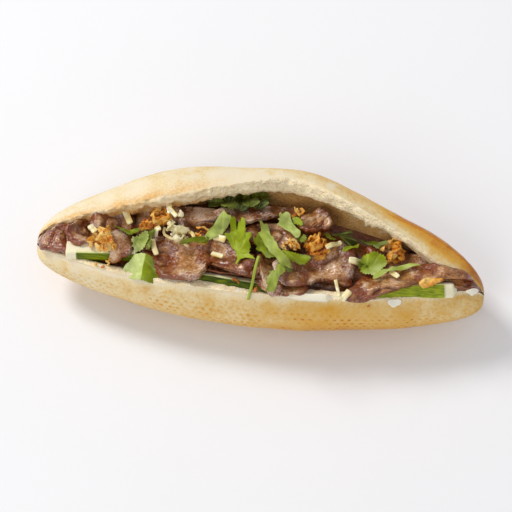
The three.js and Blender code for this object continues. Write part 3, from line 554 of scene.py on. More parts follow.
def window_mean(grid, reach):
    """Mean of the square window that reaches so many cells each way, from running sums along both axes."""
    for axis in (0, 1):
        edge = [(reach + 1, reach) if k == axis else (0, 0) for k in (0, 1)]
        total = np.cumsum(np.pad(grid, edge, "edge"), axis)
        width = 2 * reach + 1
        grid = (np.take(total, range(width, total.shape[axis]), axis)
                - np.take(total, range(total.shape[axis] - width), axis)) / width
    return grid


def window_top(grid, reach):
    """Highest value of the square window that reaches so many cells each way."""
    for axis in (0, 1):
        grid = np.max([np.roll(grid, k, axis) for k in range(-reach, reach + 1)], 0)
    return grid


def resting(stiffness):
    """What a piece rests on: the map with its hollows bridged over a window that its stiffness sets in
    millimetres, and nowhere lower than the map itself, lightly smoothed."""
    bridged = window_mean(window_top(heaped, 3), int(stiffness * 1.5 / CELL))
    return np.maximum(bridged, window_mean(heaped, 2))


def read(grid, x, p):
    """The map's value between its cells: the blend of the four cells around."""
    column, row = (np.clip((value - at[0]) / CELL, 0, len(at) - 1.001) for value, at in ((x, X_AT), (p, P_AT)))
    i, j = column.astype(int), row.astype(int)
    u, v = column - i, row - j
    return ((1 - v) * ((1 - u) * grid[j, i] + u * grid[j, i + 1])
            + v * ((1 - u) * grid[j + 1, i] + u * grid[j + 1, i + 1]))


def stamp(points):
    """Raises the map to the height of each point."""
    i, j = (np.clip(np.rint((points[..., k] - at[0]) / CELL), 0, len(at) - 1).astype(int)
            for k, at in enumerate((X_AT, P_AT)))
    np.maximum.at(heaped, (j, i), points[..., 2])


def lay(node, food, *surfaces):
    """Puts the surfaces of one piece of filling on the map, and into a mesh that stands for its node."""
    for rings, _ in surfaces:
        stamp(rings)
    serve(f"{node}_{food[1]}", food, [skin(rings, **marks) for rings, marks in surfaces], node)


def rounded_square(count, power):
    """Points round a square from -1 to 1 whose corners a superellipse of the given power rounds."""
    turn = np.linspace(0, 2 * np.pi, count, endpoint=False)
    reach = (np.abs(np.cos(turn)) ** power + np.abs(np.sin(turn)) ** power) ** (-1 / power)
    return reach * np.cos(turn), reach * np.sin(turn)


def cucumber_stick(start, end, wide, tall, q, pitch=0.0, seed=1, round_end=0.0, rolled=0.0, peeled=0.0,
                   bare=0.0, skin_share=1.0, ripe=0.0):
    """A bar along a line, rolled about it. Its section is a square whose corners a superellipse of power 7
    rounds, with one side bulged out as the skin, and its ends are drawn in a little."""
    start, end = np.array(start, float), np.array(end, float)
    length = np.hypot(*(end - start))
    along = (end - start) / length
    u, v = rounded_square(96, 7)
    # The skin side, at u below 0, is round from the top edge to the bottom.
    u = u - smooth(-u, 0.2, 1) * 0.16 * (1 - v * v)
    t = np.concatenate([np.linspace(-0.5, 0, 5) * 0.8 / length, np.linspace(0, 1, int(length / 0.7)),
                        1 + np.linspace(0, 0.5, 5) * 0.8 / length])[:, None]
    shrink = 1 - 0.13 * np.minimum(1, np.maximum(-t, t - 1) * length / 0.4).clip(0) ** 2
    shrink = shrink - round_end * smooth(t, 1 - 3.0 / length, 1) ** 2
    sideways, upward = turned(u * shrink * wide / 2, v * shrink * tall / 2, -np.radians(rolled))
    x = start[0] + along[0] * t * length - along[1] * sideways
    p = start[1] + along[1] * t * length + along[0] * sideways
    height = q + np.tan(np.radians(pitch)) * t * length + upward
    height = height + 0.12 * rough(5, seed, x, p, height) + 0.25 * grain(14, seed + 3, x, p)
    green = smooth(-u, 0.93, 1.0) * smooth(0.94 - v, 0, 0.08)
    rings = np.stack([x, p, height], -1)
    cut = np.maximum(smooth(np.maximum(-t, t - 1) * length, -0.05, 0.15),
                     smooth(peeled - t * length, -0.2, 0.2))
    cut = np.maximum(cut, smooth(bare - (1 - t) * length, -0.6, 0.6))
    pith = np.maximum(np.broadcast_to((1 + u) / 2, x.shape), 0.6 * cut)
    return rings, {"green": skin_share * green * (1 - cut), "flesh_depth": pith, "ripe": ripe}


def cucumber_finish():
    """Skin in dark green with paler stripes along it, darker as painted shade on sticks in shade and lighter as
    painted light where that mark is below 0, and wet pale flesh that is greener beside the skin.
    """
    material, place = finish_of("cucumber")
    blotch, speckle, height = place.mottled(5.0, 0.7)
    stretched = add(place.tree, "ShaderNodeMapping", {"Vector": place, "Scale": (0.06, 1.0, 1.0)})
    # Painted shading: the peel is darkened as painted shade where a stick lies in shade, lightened as painted light
    # where the mark is below 0, and made rougher so it shines less.
    ripe = place.mark("ripe")
    tone = stretched.noise(1200.0, 2.0) - ripe * 0.3
    peel = tone.shades((0.05, (0.025, 0.04, 0.0)), (0.32, (0.10, 0.14, 0.001)), (0.5, (0.21, 0.27, 0.003)),
                       (0.7, (0.38, 0.45, 0.012)))
    inner = place.mark("flesh_depth").shades((0.0, (0.56, 0.62, 0.20)), (0.12, (0.80, 0.78, 0.42)),
                                             (0.35, (0.90, 0.83, 0.58)), (1.0, (0.88, 0.80, 0.55)))
    inner = speckle.ranged(0, 1, 0, 0.3).mixed(inner, (0.93, 0.91, 0.76))
    dull = blotch.ranged(0, 1, 0.16, 0.36) + ripe.ranged(0, 1, 0, 0.4)
    return finished(material, place.mark("green").mixed(inner, peel), dull, height, (0.35, 0.0004),
                    specular=0.2, soft=(0.25, (0.8, 1.0, 0.4), 0.002))


CUCUMBER = "cucumber", "stick", cucumber_finish()
# The middle stick lies in shade under the beef, and its peel carries painted shade.
lay("cucumber_middle", CUCUMBER,
    cucumber_stick((-42, -24.2), (8, -28.6), wide=7, tall=8, q=13, pitch=6, rolled=60, ripe=1))

# ---- The grilled beef --------------------------------------------------------------------------------------
# Thin slices of beef grilled with a sweet marinade: grey-brown and fibrous, moist and shining, with folded
# lobes and dark red-brown charred edges. The lowest fills the slit, and the others are laid on it,
# overlapping and draped.

SLICE = 3.8
BED_SHARE = 0.84


def walk(line):
    """Distance walked along a line of points, from 0 at its first."""
    return np.append(0, np.cumsum(np.hypot(*np.diff(line, axis=0).T)))


def thin_piece(rim, thick, stiff=3, lift=0.0, turn=0.0, arch=0.0, fold=0.0, rise=0.0, wave=0.0, step=0.55,
               ragged=0.0, teeth=0.0, tooth=2.2, lobes=0.0, relief=None, seed=1):
    """A slice or a leaf on the map. Its outline is a closed curve through the rim, ragged by noise or notched
    by teeth. Rings shrink towards the centre: beneath, round the edge in a half circle, and back over the
    top. A point's height is the map's, plus a form: a rise along the turned axis, less an arch in the square
    and a fold in the size of the distance across it, plus waves and the relief."""
    rim = np.array(rim, float)
    centre = rim.mean(0)
    line = through(rim, 24)
    walked = walk(np.vstack([line, line[:1]]))
    place = np.arange(int(walked[-1] / step)) * walked[-1] / int(walked[-1] / step)
    line = np.stack([np.interp(place, walked, np.append(line[:, k], line[0, k])) for k in (0, 1)], -1)
    reach = np.hypot(*(line - centre).T)
    wander = place + 0.8 * grain(4, seed + 3, line[:, 0], line[:, 1])
    notch = sum(deep * (1 - np.abs(np.sin(np.pi * wander / (walked[-1] / np.rint(walked[-1] / (tooth * apart))))))
                for deep, apart in ((0.7 * teeth, 1), (lobes, 2.9)))
    out = ragged * rough(4, seed, line[:, 0], line[:, 1]) - notch
    line = centre + (line - centre) * (1 + out / reach)[:, None]
    size = reach.mean()
    edge = min(thick / 2 / size, 0.45)
    swing = np.radians(np.linspace(-80, 80, 7 if thick > 2 else 4))
    under = np.linspace(0.1, 1 - edge, max(4, int(size / step / 3)))
    over = np.linspace(1 - edge, 0.025, int(size * (1 - edge) / step) + 2)
    share = np.concatenate([under, 1 - edge + edge * np.cos(swing), over])[:, None]
    side = np.concatenate([-np.ones(len(under)), np.sin(swing), np.ones(len(over))])[:, None]
    x, p = np.moveaxis(centre + (line - centre) * share[..., None], -1, 0)
    along, across = turned(x - centre[0], p - centre[1], -np.radians(turn))
    ripple = wave * share ** 2 * np.sin(0.42 * x + 0.31 * p + 0.8 * np.sin(0.3 * p))
    form = rise * along - arch * across ** 2 - fold * np.abs(across) + ripple
    height, marks = relief(along, across, share, side, x, p) if relief else (0.0, {})
    middle = read(resting(stiff), x, p) + thick / 2 + GAP + lift + form
    q = middle + side * (thick / 2) + height
    return np.stack([x, p, q], -1), marks


def meat_relief(seed, fold_size=9.0, fold_height=1.1, fibre_height=0.06, char=0.7, hem=0.9, bright=0.0):
    """Relief of grilled beef: round lobes parted by creases, which are the absolute value of a smooth noise,
    with softer and smaller lumps; fibres, which are noise stretched along the grain; and a hem that swells
    inside the rim. Its marks are how light the meat is, from its fibre and from painted light on the raised
    lobes and lumps, how deep a crease is, which sets painted shade in the finish, and how charred the point
    is."""
    def relief(along, across, share, side, x, p):
        bend = 2.5 * grain(12, seed + 2, x, p)
        lobe = np.abs(grain(fold_size, seed, along * 0.8, across + bend)) ** 0.7
        lumps = 0.35 * grain(fold_size / 2.4, seed + 1, along, across)
        lumps = lumps + 0.2 * rough(fold_size / 5, seed + 3, along, across, octaves=2)
        fibre = grain(0.9, seed + 9, along / 3.0, (across + bend) / 0.9)
        fibre = fibre * np.clip(0.5 + grain(9, seed + 10, x, p), 0, 1)
        top = (1 + side) / 2
        height = fold_height * (1.7 * lobe + lumps - 0.9) + 0.5 * grain(13, seed + 5, x, p)
        height = height + fibre_height * fibre
        swell = np.clip(0.6 + grain(8, seed + 6, x, p), 0, 1.2)
        height = height + hem * np.exp(-((share - 0.82) / 0.12) ** 2) * swell
        height = (height - 0.6 * smooth(share, 0.85, 1)) * top
        edge = smooth(share + 0.2 * rough(5, seed + 4, x, p), 0.7, 0.97)
        patch = smooth(rough(8, seed + 7, x, p), 0.25, 0.7)
        charred = np.clip(char * (1.1 * edge + patch), 0, 1)
        # Partly painted light: the raised lobes and lumps are made lighter in the fibre mark. The crease mark sets
        # painted shade in the creases.
        light = 0.34 + bright + 0.4 * lobe + 0.4 * lumps + 0.14 * fibre + 0.26 * grain(5, seed + 11, x, p)
        crease = np.clip(1.25 - 2.2 * lobe, 0, 1)
        return height, {"fibre": np.clip(light, 0, 1), "crease": crease, "char": charred}
    return relief


def beef_finish():
    """Brown meat, paler where it stands up as painted light, dark red-brown in its creases as painted shade, nearly
    black where it is charred, and with pale specks of painted highlight.
    """
    material, place = finish_of("beef")
    blotch, speckle, height = place.mottled(6.0, 1.1)
    # The fibre mark holds the fibre's tone and painted light on the raised lobes.
    fibre = place.mark("fibre")
    tone = fibre * 0.46 + blotch * 0.24 + speckle * 0.3
    meat = tone.shades((0.24, (0.13, 0.034, 0.006)), (0.4, (0.32, 0.12, 0.028)), (0.56, (0.47, 0.22, 0.07)),
                       (0.75, (0.63, 0.405, 0.21)))
    # Painted shade: the creases are mixed towards dark red-brown.
    meat = place.mark("crease").ranged(0.35, 0.95, 0, 0.92).mixed(meat, (0.14, 0.036, 0.007))
    burnt = speckle.mixed((0.07, 0.010, 0.002), (0.36, 0.07, 0.012))
    meat = place.mark("char").ranged(0.12, 0.8, 0, 0.92).mixed(meat, burnt)
    # Pale specks painted on what stands up: a painted highlight for the shine of wet fat.
    fat = (fibre * place.noise(900.0, 2.0)).ranged(0.34, 0.46, 0, 0.5)
    meat = fat.mixed(meat, (0.74, 0.60, 0.52))
    return finished(material, meat, blotch.ranged(0, 1, 0.25, 0.45), height, (0.9, 0.0008), specular=0.6,
                    soft=(0.06, (1.0, 0.4, 0.2), 0.0015), coat=(0.4, 0.14))


BEEF = "beef", "meat", beef_finish()


def beef_bed():
    """The beef beneath: rings across the slit, each over the heap less the drop, with the relief of folded
    slices, and back along the slit's floor."""
    s = even_stations(210)[:, None] * 0.955
    x, a, b = s * HALF_LENGTH, half_width(s) * BED_SHARE, depth(s) * BED_SHARE
    reach = np.linspace(1, -1, 120)
    p = axis_shift(s) + a * reach
    fold = np.abs(grain(9, 71, x * 0.8, p)) ** 0.7 * 2.2 + 0.5 * rough(4, 72, x, p)
    fibre = grain(1.0, 73, x / 6, p / 0.9)
    rise = 0.8 * smooth(np.abs(s), 0.78, 0.9) * (1 - smooth(np.abs(reach), 0.3, 0.7))
    # On the right it stops short of the hollow's back wall.
    hollow = 12 * smooth(reach, 0.05, 0.5) * band(s, 0.1, 0.3, 0.7, 0.85)
    top = np.maximum(heap(x, p) - (BED_DROP + 1.6) * (1 - rise) + fold + 0.25 * fibre - hollow, -0.4 * b)
    turn = np.linspace(np.pi, 2 * np.pi, 26)[1:-1]
    low = np.stack([x + 0 * turn, axis_shift(s) + a * np.cos(turn), b * np.sin(turn)], -1)
    rings = np.concatenate([np.stack([x + 0 * p, p, top], -1), low], 1)
    beneath = np.zeros((len(s), len(turn)))
    # The crease mark darkens the low parts of the folds as painted shade, and the char mark darkens the bed, partly
    # as charring and partly as painted shade for the gaps between the slices.
    marks = {"fibre": 0.3 + 0.4 * fibre, "crease": 1 - fold / 2.2, "char": 0.4 + 0.3 * grain(8, 74, x, p)}
    return rings, {name: np.concatenate([np.clip(mark, 0, 1), beneath], 1) for name, mark in marks.items()}


def lay_slice(name, rim, **more):
    """Lays one slice. Its seed is worked out from its name, and more holds what sets its form or relief
    apart."""
    seed = 100 + sum(map(ord, name))
    looks = ("fold_size", "fold_height", "fibre_height", "char", "hem", "bright")
    look = {key: more.pop(key) for key in looks if key in more}
    settings = {"thick": SLICE, "wave": 0.9, "ragged": 0.8, "relief": meat_relief(seed, **look), "seed": seed}
    lay(name, BEEF, thin_piece(rim, **{**settings, **more}))


lay("beef_bed", BEEF, beef_bed())
lay_slice("beef_tip_left", [(-125.5, -9.5), (-120, -5.5), (-112, -1), (-102, 2), (-98, -8), (-102, -16),
          (-111, -18), (-120, -16)], lift=2.4, ragged=1.2, turn=90, rise=0.12, fold_size=6, char=1.0,
          bright=-0.04)
lay_slice("beef_back_left", [(-84, 9), (-76, 14), (-67, 18), (-57, 19), (-51, 12), (-56, 1), (-66, -3),
          (-77, -1)], turn=90, rise=0.35, lift=0.6, char=1.1)
# bright=0.2 and a light char paint this strip lighter: painted light where the back lip shades it.
lay_slice("beef_strip_back_left", [(-59, 12), (-48, 17), (-36, 18), (-26, 17), (-22, 12), (-31, 7), (-44, 5),
          (-56, 7)], thick=6, stiff=4, arch=0.03, lift=2.5, char=0.3, bright=0.2)
lay_slice("beef_behind_leaf", [(-46, 7), (-33, 7), (-20, 7), (-6, 8), (-6, -2), (-20, -4), (-34, -4),
          (-46, -3)], bright=0.15)
lay_slice("beef_middle", [(-12, 6), (-2, 12), (9, 13), (20, 10), (24, 1), (13, -4), (0, -3), (-10, -1)])
lay_slice("beef_back_right", [(58, 4), (69, 6), (80, 5), (92, 3), (104, -3), (95, -9), (78, -11), (62, -6)])
lay_slice("beef_tip_right", [(93, -3), (104, -2), (114, -5), (121.5, -11.5), (122, -15), (113, -16.5),
          (104, -14.5), (95, -10)], lift=1.6, char=0.9)
lay_slice("beef_front_low", [(-33, -18), (-22, -14), (-9, -14), (4, -17), (3, -23), (-12, -22.5),
          (-26, -21.5)], char=1.0)
# bright=0.2 and a light char paint this strip lighter: painted light where the back lip shades it.
lay_slice("beef_strip_back", [(-29, 12), (-19, 19), (-6, 23), (9, 24), (20, 23), (20, 17), (6, 15), (-7, 9),
          (-18, 8)], thick=6, stiff=4, arch=0.03, lift=2.5, char=0.3, bright=0.2)
lay_slice("beef_fold_back_right", [(19, 14), (23.5, 20), (30, 26), (35, 23.5), (37.5, 17), (36, 12), (28, 8),
          (21, 9)], thick=6, stiff=4, turn=40, rise=0.15, lift=1.5, fibre_height=0.5, fold_size=5)
lay("cucumber_left", CUCUMBER,
    cucumber_stick((-106, -16.2), (-68, -13.6), wide=8.4, tall=7, q=12.5, pitch=2, seed=4, rolled=24,
                   peeled=5.5, ripe=0.35))
lay("cucumber_right", CUCUMBER,
    cucumber_stick((66, -22.8), (109, -15.8), wide=7.4, tall=8.4, q=15.5, pitch=-5, seed=7, round_end=0.5,
                   rolled=62, bare=6.5, skin_share=0.95, ripe=-0.3))
lay_slice("beef_left_2", [(-108, -4), (-100, 4.5), (-91, 9), (-86, -1), (-91, -10), (-97, -13), (-104, -13)],
          turn=90, rise=0.22, lift=1, ragged=1.2, fold_size=6, char=1)
lay_slice("beef_left_3", [(-95, 6), (-87, 10.5), (-77, 13), (-71, 3), (-74, -8), (-83, -11), (-92, -8)],
          turn=90, rise=0.2, lift=1, ragged=1.2, fold_size=7)
lay_slice("beef_curl_left", [(-84, -6), (-76, -2), (-69, -5), (-68, -13), (-74, -20), (-82, -22), (-82, -15)],
          turn=-60, arch=0.04)
lay_slice("beef_centre_low", [(-4, -16), (1, -8), (10, -7), (21, -12), (28, -22), (27, -30), (14, -32),
          (3, -28)])
lay_slice("beef_lobe_front", [(-21, -15), (-7, -11), (2, -14), (4, -20.5), (-4, -23.5), (-11, -22),
          (-18, -20)], thick=5, fold_size=7, hem=1.5)
lay_slice("beef_main", [(-66, -20), (-61, -9), (-50, -1), (-38, -2), (-25, -1), (-11, -5), (-1, -15),
          (-5, -24), (-11, -20), (-19, -18.5), (-24, -17), (-27.5, -22), (-32.5, -28), (-42, -29),
          (-51, -28.5), (-57, -24)], stiff=4, thick=4.6, wave=0.8, ragged=1.2, fold_size=9, fold_height=1.6,
          hem=2.2)
lay_slice("beef_tongue", [(0, -10), (7, -7), (14, -15), (16, -28), (10, -34), (4, -27), (1, -18)], thick=3.6)
lay_slice("beef_centre_right", [(9, -13), (21, -7), (34, 0), (44, 7), (50, 3), (53, -8), (52, -19), (47, -21),
          (42, -20), (34, -19.5), (29, -24), (20, -27), (11, -24)], stiff=4, thick=4.4, wave=0.9, ragged=1.2,
          fold_size=10, fold_height=1.4, hem=1.8, char=0.6, bright=0.08)
lay_slice("beef_right_long", [(49.5, -30), (50, -26), (54, -18), (60, -12), (72, -10), (84, -4), (98, -2),
          (112, -5), (118, -10), (104, -12), (91, -16), (79, -21), (66, -27), (57, -31)], stiff=4, turn=18,
          arch=0.02, fold_size=8, hem=1.4, bright=-0.07)

# ---- Fried shallots ----------------------------------------------------------------------------------------
# Shallot slices fried crisp: each clump is a tangle of crinkled, blistered curls, golden with darker
# red-brown rims.

CRISP = 1.1


def shallot_curl(heart, reach, drawn):
    """One curl: a ribbon bent round an arc, its radius rippled and its surface crinkled by noise, then tipped
    by two random angles and turned about the upright. Its section is a flat ellipse."""
    radius = reach * drawn.uniform(0.3, 0.75)
    arc = np.pi * drawn.uniform(0.4, 1.1)
    wide = reach * drawn.uniform(0.4, 0.9)
    seed = int(drawn.integers(1, 9999))
    t = np.linspace(-0.5, 0.5, 34)[:, None]
    turn = np.linspace(0, 2 * np.pi, 18, endpoint=False)
    taper = np.maximum(0.12, 1 - np.abs(2 * t) ** 4) ** 0.5
    along = t * arc * radius
    side = np.cos(turn) * wide / 2 * taper * (1 + 0.3 * grain(2.5, seed + 3, along))
    lift = np.sin(turn) * CRISP / 2 * taper
    bow = radius * (1 + 0.14 * np.sin(t * arc * 5 + seed)) + 0.25 * reach * (side / wide) ** 2 + lift
    bow = bow + 1.3 * rough(2.6, seed, along, side) + 0.2 * grain(0.7, seed + 5, along, side, lift)
    wavering = side + 0.5 * np.sin(3 * t * arc + seed)
    rings = np.stack([bow * np.cos(t * arc), bow * np.sin(t * arc), wavering], -1)
    tip_x, tip_y = drawn.uniform(-0.95, 0.95, 2)
    about = drawn.uniform(0, 2 * np.pi)
    rotation = Matrix.Rotation(about, 3, "Z") @ Matrix.Rotation(tip_y, 3, "Y")
    rotation = rotation @ Matrix.Rotation(tip_x, 3, "X")
    away = reach * 0.5 * drawn.uniform(0, 1)
    bearing = drawn.uniform(0, 2 * np.pi)
    shift = heart + np.array([away * np.cos(bearing), away * np.sin(bearing), 0])
    toast = 0.15 + 0.3 * np.abs(np.cos(turn)) ** 3 + 0.4 * rough(3, seed + 9, along, side)
    toast = toast + drawn.uniform(-0.2, 0.25)
    return rings @ np.array(rotation).T + shift, np.clip(toast, 0, 1)


def shallot_finish():
    """Fried gold with red-brown rims: its colour follows how toasted each point is."""
    material, place = finish_of("shallot")
    blotch, speckle, height = place.mottled(3.0, 0.5)
    toast = place.mark("toast") + speckle.ranged(0, 1, -0.15, 0.15)
    colour = toast.shades((0.0, (0.90, 0.60, 0.18)), (0.32, (0.78, 0.35, 0.025)), (0.62, (0.50, 0.12, 0.004)),
                          (0.95, (0.15, 0.02, 0.003)))
    return finished(material, colour, blotch.ranged(0, 1, 0.3, 0.6), height, (0.8, 0.0005),
                    soft=(0.2, (1.0, 0.5, 0.15), 0.0015))


SHALLOT = "shallot", "fried", shallot_finish()
CLUMPS = {
    "shallot_left": [((-86, -10.5), 7.8, 12), ((-81.5, -13.5), 4.5, 4)],
    "shallot_back_left": [((-57, 8), 7.5, 10), ((-63, 2), 5.5, 6)],
    "shallot_behind_leaf": [((-33, -1), 5, 6)],
    "shallot_centre": [((31, 0), 8, 12)],
    "shallot_middle": [((17, -2), 5.5, 7)],
    "shallot_shard_back": [((17, 19), 4, 3)],
    "shallot_right": [((72, 2), 7.5, 11)],
}
BAKED_MORE = {"shallot_left": -0.1, "shallot_centre": 0.18, "shallot_right": 0.1}


def above(at, stiffness, height):
    """A point so high over what a piece of this stiffness rests on at (x, p)."""
    return np.array([*at, read(resting(stiffness), *map(float, at)) + height])


for number, (name, clumps) in enumerate(CLUMPS.items()):
    drawn = np.random.default_rng(300 + number)
    curls = []
    for at, reach, count in clumps:
        heart = above(at, 2, GAP + reach * 0.3)
        tangle = [shallot_curl(heart, reach, drawn) for _ in range(count)]
        for rings, _ in tangle:
            stamp(rings)
        curls += [(rings, {"toast": toast + BAKED_MORE.get(name, 0)}) for rings, toast in tangle]
    lay(name, SHALLOT, *curls)


def crisp_relief(along, across, share, side, x, p):
    """Crinkles of a long curl: noise on its upper side. It is golden at one end and toasted towards the
    other."""
    crinkle = rough(2.6, 77, x, p)
    toast = 0.12 + 0.045 * (along + 3) * (along > -3) + 0.3 * rough(3, 78, x, p)
    return 1.1 * crinkle * (1 + side) / 2, {"toast": np.clip(toast, 0, 1)}


lay("shallot_on_cucumber", SHALLOT, thin_piece(
    [(88, -17), (90, -19.5), (94, -18.5), (98, -16.5), (102, -14), (100, -12.5), (95, -13), (90.5, -14)], thick=2.6,
    stiff=2, lift=0.4, arch=0.06, turn=25, ragged=0.9, step=0.4, relief=crisp_relief, seed=77))

# ---- Pickled shreds ----------------------------------------------------------------------------------------
# Thin strips of pickled white radish and onion, pale yellow-green, wet and a little see-through. Most lie
# singly; one tangle of curled strips lies on the left.

SHRED = 1.4


def strip(path, wide, thick=SHRED, stiff=1, seed=1):
    """A bar along a curve on the map: each ring is a rounded square across the path, drawn in at both ends as
    a quarter circle, and its width and twist vary with noise."""
    line = through(np.array(path, float), 20, closed=False)
    walked = walk(line)
    length = walked[-1]
    t = np.linspace(0, length, int(length / 0.45))
    x, p = (np.interp(t, walked, line[:, k]) for k in (0, 1))
    heading = np.stack([np.gradient(x), np.gradient(p)], -1)
    heading /= np.hypot(*heading.T)[:, None]
    ground = resting(stiff)
    level = np.max([read(ground, x - heading[:, 1] * k * wide, p + heading[:, 0] * k * wide)
                    for k in (-0.5, 0, 0.5)], 0)
    kernel = np.hanning(9) / np.hanning(9).sum()
    level = np.convolve(np.pad(level, 4, "edge"), kernel, "valid")
    level = level + thick / 2 + GAP
    u, v = rounded_square(20, 6)
    end = np.clip(np.minimum(t, length - t) / 0.6, 0, 1)
    fit = np.sqrt(1 - (1 - end) ** 2).clip(0.7) * (1 + 0.08 * grain(3, seed, t))
    twist = (0.35 * grain(6, seed + 1, t))[:, None]
    u, v = turned(u * (fit * wide / 2)[:, None], v * (fit * thick / 2)[:, None], twist)
    rings = np.stack([x[:, None] - heading[:, 1:] * u, p[:, None] + heading[:, :1] * u, level[:, None] + v], -1)
    rib = grain(0.8, seed + 2, u * 1.2, t[:, None] / 8)
    return rings, {"rib": 0.5 + 0.5 * rib}


def pickle_finish():
    """Pale yellow-green strips, ribbed along their length, wet, with light passing into them."""
    material, place = finish_of("pickle")
    blotch, speckle, height = place.mottled(4.0, 0.8)
    colour = place.mark("rib").shades((0.2, (0.80, 0.60, 0.22)), (0.5, (0.87, 0.75, 0.41)),
                                      (0.8, (0.93, 0.86, 0.60)))
    colour = blotch.ranged(0.3, 1, 0, 0.35).mixed(colour, (0.78, 0.67, 0.27))
    return finished(material, colour, speckle.ranged(0, 1, 0.18, 0.4), height, (0.3, 0.0004),
                    soft=(0.45, (1.0, 0.95, 0.5), 0.0025))


PICKLE = "pickle", "shred", pickle_finish()
# For each piece its strips, each with its path, its width and, for some, its thickness.
SHREDS = {
    "pickle_left_back": [([(-78, 11), (-73, 2)], 3.6)],
    "pickle_left": [([(-95, -2), (-90, -8)], 3.6)],
    "pickle_curls": [([(-58.5, -4), (-57.5, -1.5), (-55.5, 0)], 3), ([(-53.5, 1), (-54, -1), (-52.5, -3),
        (-49, -4.5), (-46, -4), (-44, -3)], 1.6, 1.2), ([(-43.5, -2.5), (-41, -4.5), (-41.5, -7), (-39, -8.5)], 1.6,
        1.2), ([(-41, 0.5), (-38, -1.5), (-36, -5)], 1.8, 1.2), ([(-50, -2.5), (-47, -0.5), (-44, -1.5),
        (-42, -3.5)], 1.5, 1.2)],
    "pickle_fork_back": [([(-53, 15), (-51, 8)], 3), ([(-53, 12), (-47, 6)], 2.6)],
    "pickle_hang": [([(-59.5, -6), (-58.5, -10), (-56, -15)], 3), ([(-62, -7), (-61.5, -12)], 2.4)],
    "pickle_on_main": [([(-26, -11.5), (-19, -14.5)], 2.6)],
    "pickle_behind_fan": [([(-26, -2), (-19, -3.5)], 3.6, 2.4)],
    "pickle_right_back": [([(36, -2), (44, 4)], 2.8)],
    "pickle_right": [([(49, -6), (56, -6)], 3.6)],
    "pickle_right_low": [([(72, -11), (77, -15)], 2.8)],
    "pickle_lip": [([(51.5, -26), (47.5, -31)], 3.4, 3)],
    "pickle_thread": [([(43, -19), (45, -25), (46, -30)], 1.8)],
}
for number, (name, strips) in enumerate(SHREDS.items()):
    shreds = [strip(*measures, seed=500 + 10 * number + k) for k, measures in enumerate(strips)]
    if name == "pickle_curls":
        # Broad crinkled slices lie in the tangle.
        drawn = np.random.default_rng(400)
        for at in ((-49.5, 2.5), (-47, 3.5), (-44.5, 2.5), (-43, 1), (-47, 0.5), (-46, 2)):
            rings, shade = shallot_curl(above(at, 2, 2.6), 7.5, drawn)
            shreds.append((rings, {"rib": 0.72 - 0.5 * shade}))
    lay(name, PICKLE, *shreds)

# ---- Coriander ---------------------------------------------------------------------------------------------
# Fresh leaves laid on last: bright or dark green on top, paler and duller beneath, notched round their edges,
# with veins fanning out from the foot of each leaf. One thin stem lies over the front lip.

LEAF = 0.45


def leaf_relief(seed, foot, veins, pale, deep, pale_side):
    """Relief of a leaf: narrow grooves that fan out from its foot at even angles, and soft puckers between them. Its
    marks are the vein, how pale this side is, together with painted light on one side of a fold, and how deep its
    green, which for leaves lying in shade is also painted shade."""
    def relief(along, across, share, side, x, p):
        angle = np.arctan2(p - foot[1], x - foot[0])
        vein = np.abs(np.cos(veins * angle + seed)) ** 14 * smooth(share, 0.02, 0.2)
        pucker = 0.45 * grain(2.6, seed, x, p) + 0.5 * grain(8, seed + 1, x, p)
        # One side across the leaf is painted paler: painted light.
        two_tone = pale + 0.25 * grain(6, seed + 2, x, p) + np.clip(pale_side * across, 0, 1.2)
        depth_share = deep + 0.25 * grain(7, seed + 3, x, p)
        return pucker - 0.3 * vein, {"vein": vein, "pale": two_tone, "deep": depth_share}
    return relief


def coriander_finish():
    """Leaf green between deep and bright, darkest where painted shade falls on leaves in shade, or the pale
    grey-green of a leaf's underside, also used as painted light on a lit side, with lighter veins."""
    material, place = finish_of("coriander")
    blotch, speckle, height = place.mottled(4.0, 0.6)
    depth_share = place.mark("deep") + speckle.ranged(0, 1, -0.1, 0.1)
    top = depth_share.shades((0.0, (0.30, 0.375, 0.005)), (0.45, (0.145, 0.18, 0.002)),
                             (1.0, (0.025, 0.034, 0.002)))
    under = blotch.mixed((0.42, 0.50, 0.12), (0.64, 0.72, 0.31))
    colour = place.mark("pale").ranged(0, 1).mixed(top, under)
    colour = (place.mark("vein") * 0.28).mixed(colour, (0.50, 0.57, 0.14))
    return finished(material, colour, blotch.ranged(0, 1, 0.44, 0.66), height, (0.35, 0.0004), specular=0.22)


CORIANDER = "coriander", "fresh", coriander_finish()


def leaf(rim, foot=0, veins=5, pale=0.0, deep=0.3, pale_side=0.0, **more):
    """One leaf: a thin piece with teeth, whose veins start at the rim point of the given number."""
    seed = 900 + int(abs(rim[0][0]) * 7 + abs(rim[0][1]) * 13)
    settings = {"thick": LEAF, "stiff": 2, "wave": 0.5, "teeth": 1.2, "tooth": 1.9, "lobes": 0.12, "ragged": 0.3,
                "seed": seed, "step": 0.45}
    relief = leaf_relief(seed, rim[foot], veins, pale, deep, pale_side)
    return thin_piece(rim, relief=relief, **{**settings, **more})


lay("leaf_left", CORIANDER,
    leaf([(-71, -6.5), (-68.5, -4.5), (-65, -2.5), (-62.5, -2), (-61.5, -5), (-62.5, -9.5), (-63.5, -12),
         (-65, -14.5), (-68, -15.5), (-68.5, -13.5), (-70, -13), (-69.5, -11), (-71, -9)], turn=60, arch=0.03,
         lift=1, pale=0.75),
    leaf([(-65, -3.5), (-60, -1), (-58, -1.5), (-59.5, -5.5), (-60, -11.5), (-62, -13), (-63, -9)], lift=0.3,
         deep=0.7),
    leaf([(-82, -2.3), (-79, -1.2), (-75.5, -2.3), (-71, -1.3), (-67, -1), (-67, -2.2), (-69.5, -3.7),
         (-72, -6), (-74.5, -5), (-78, -3)], lift=0.5, deep=0.3))
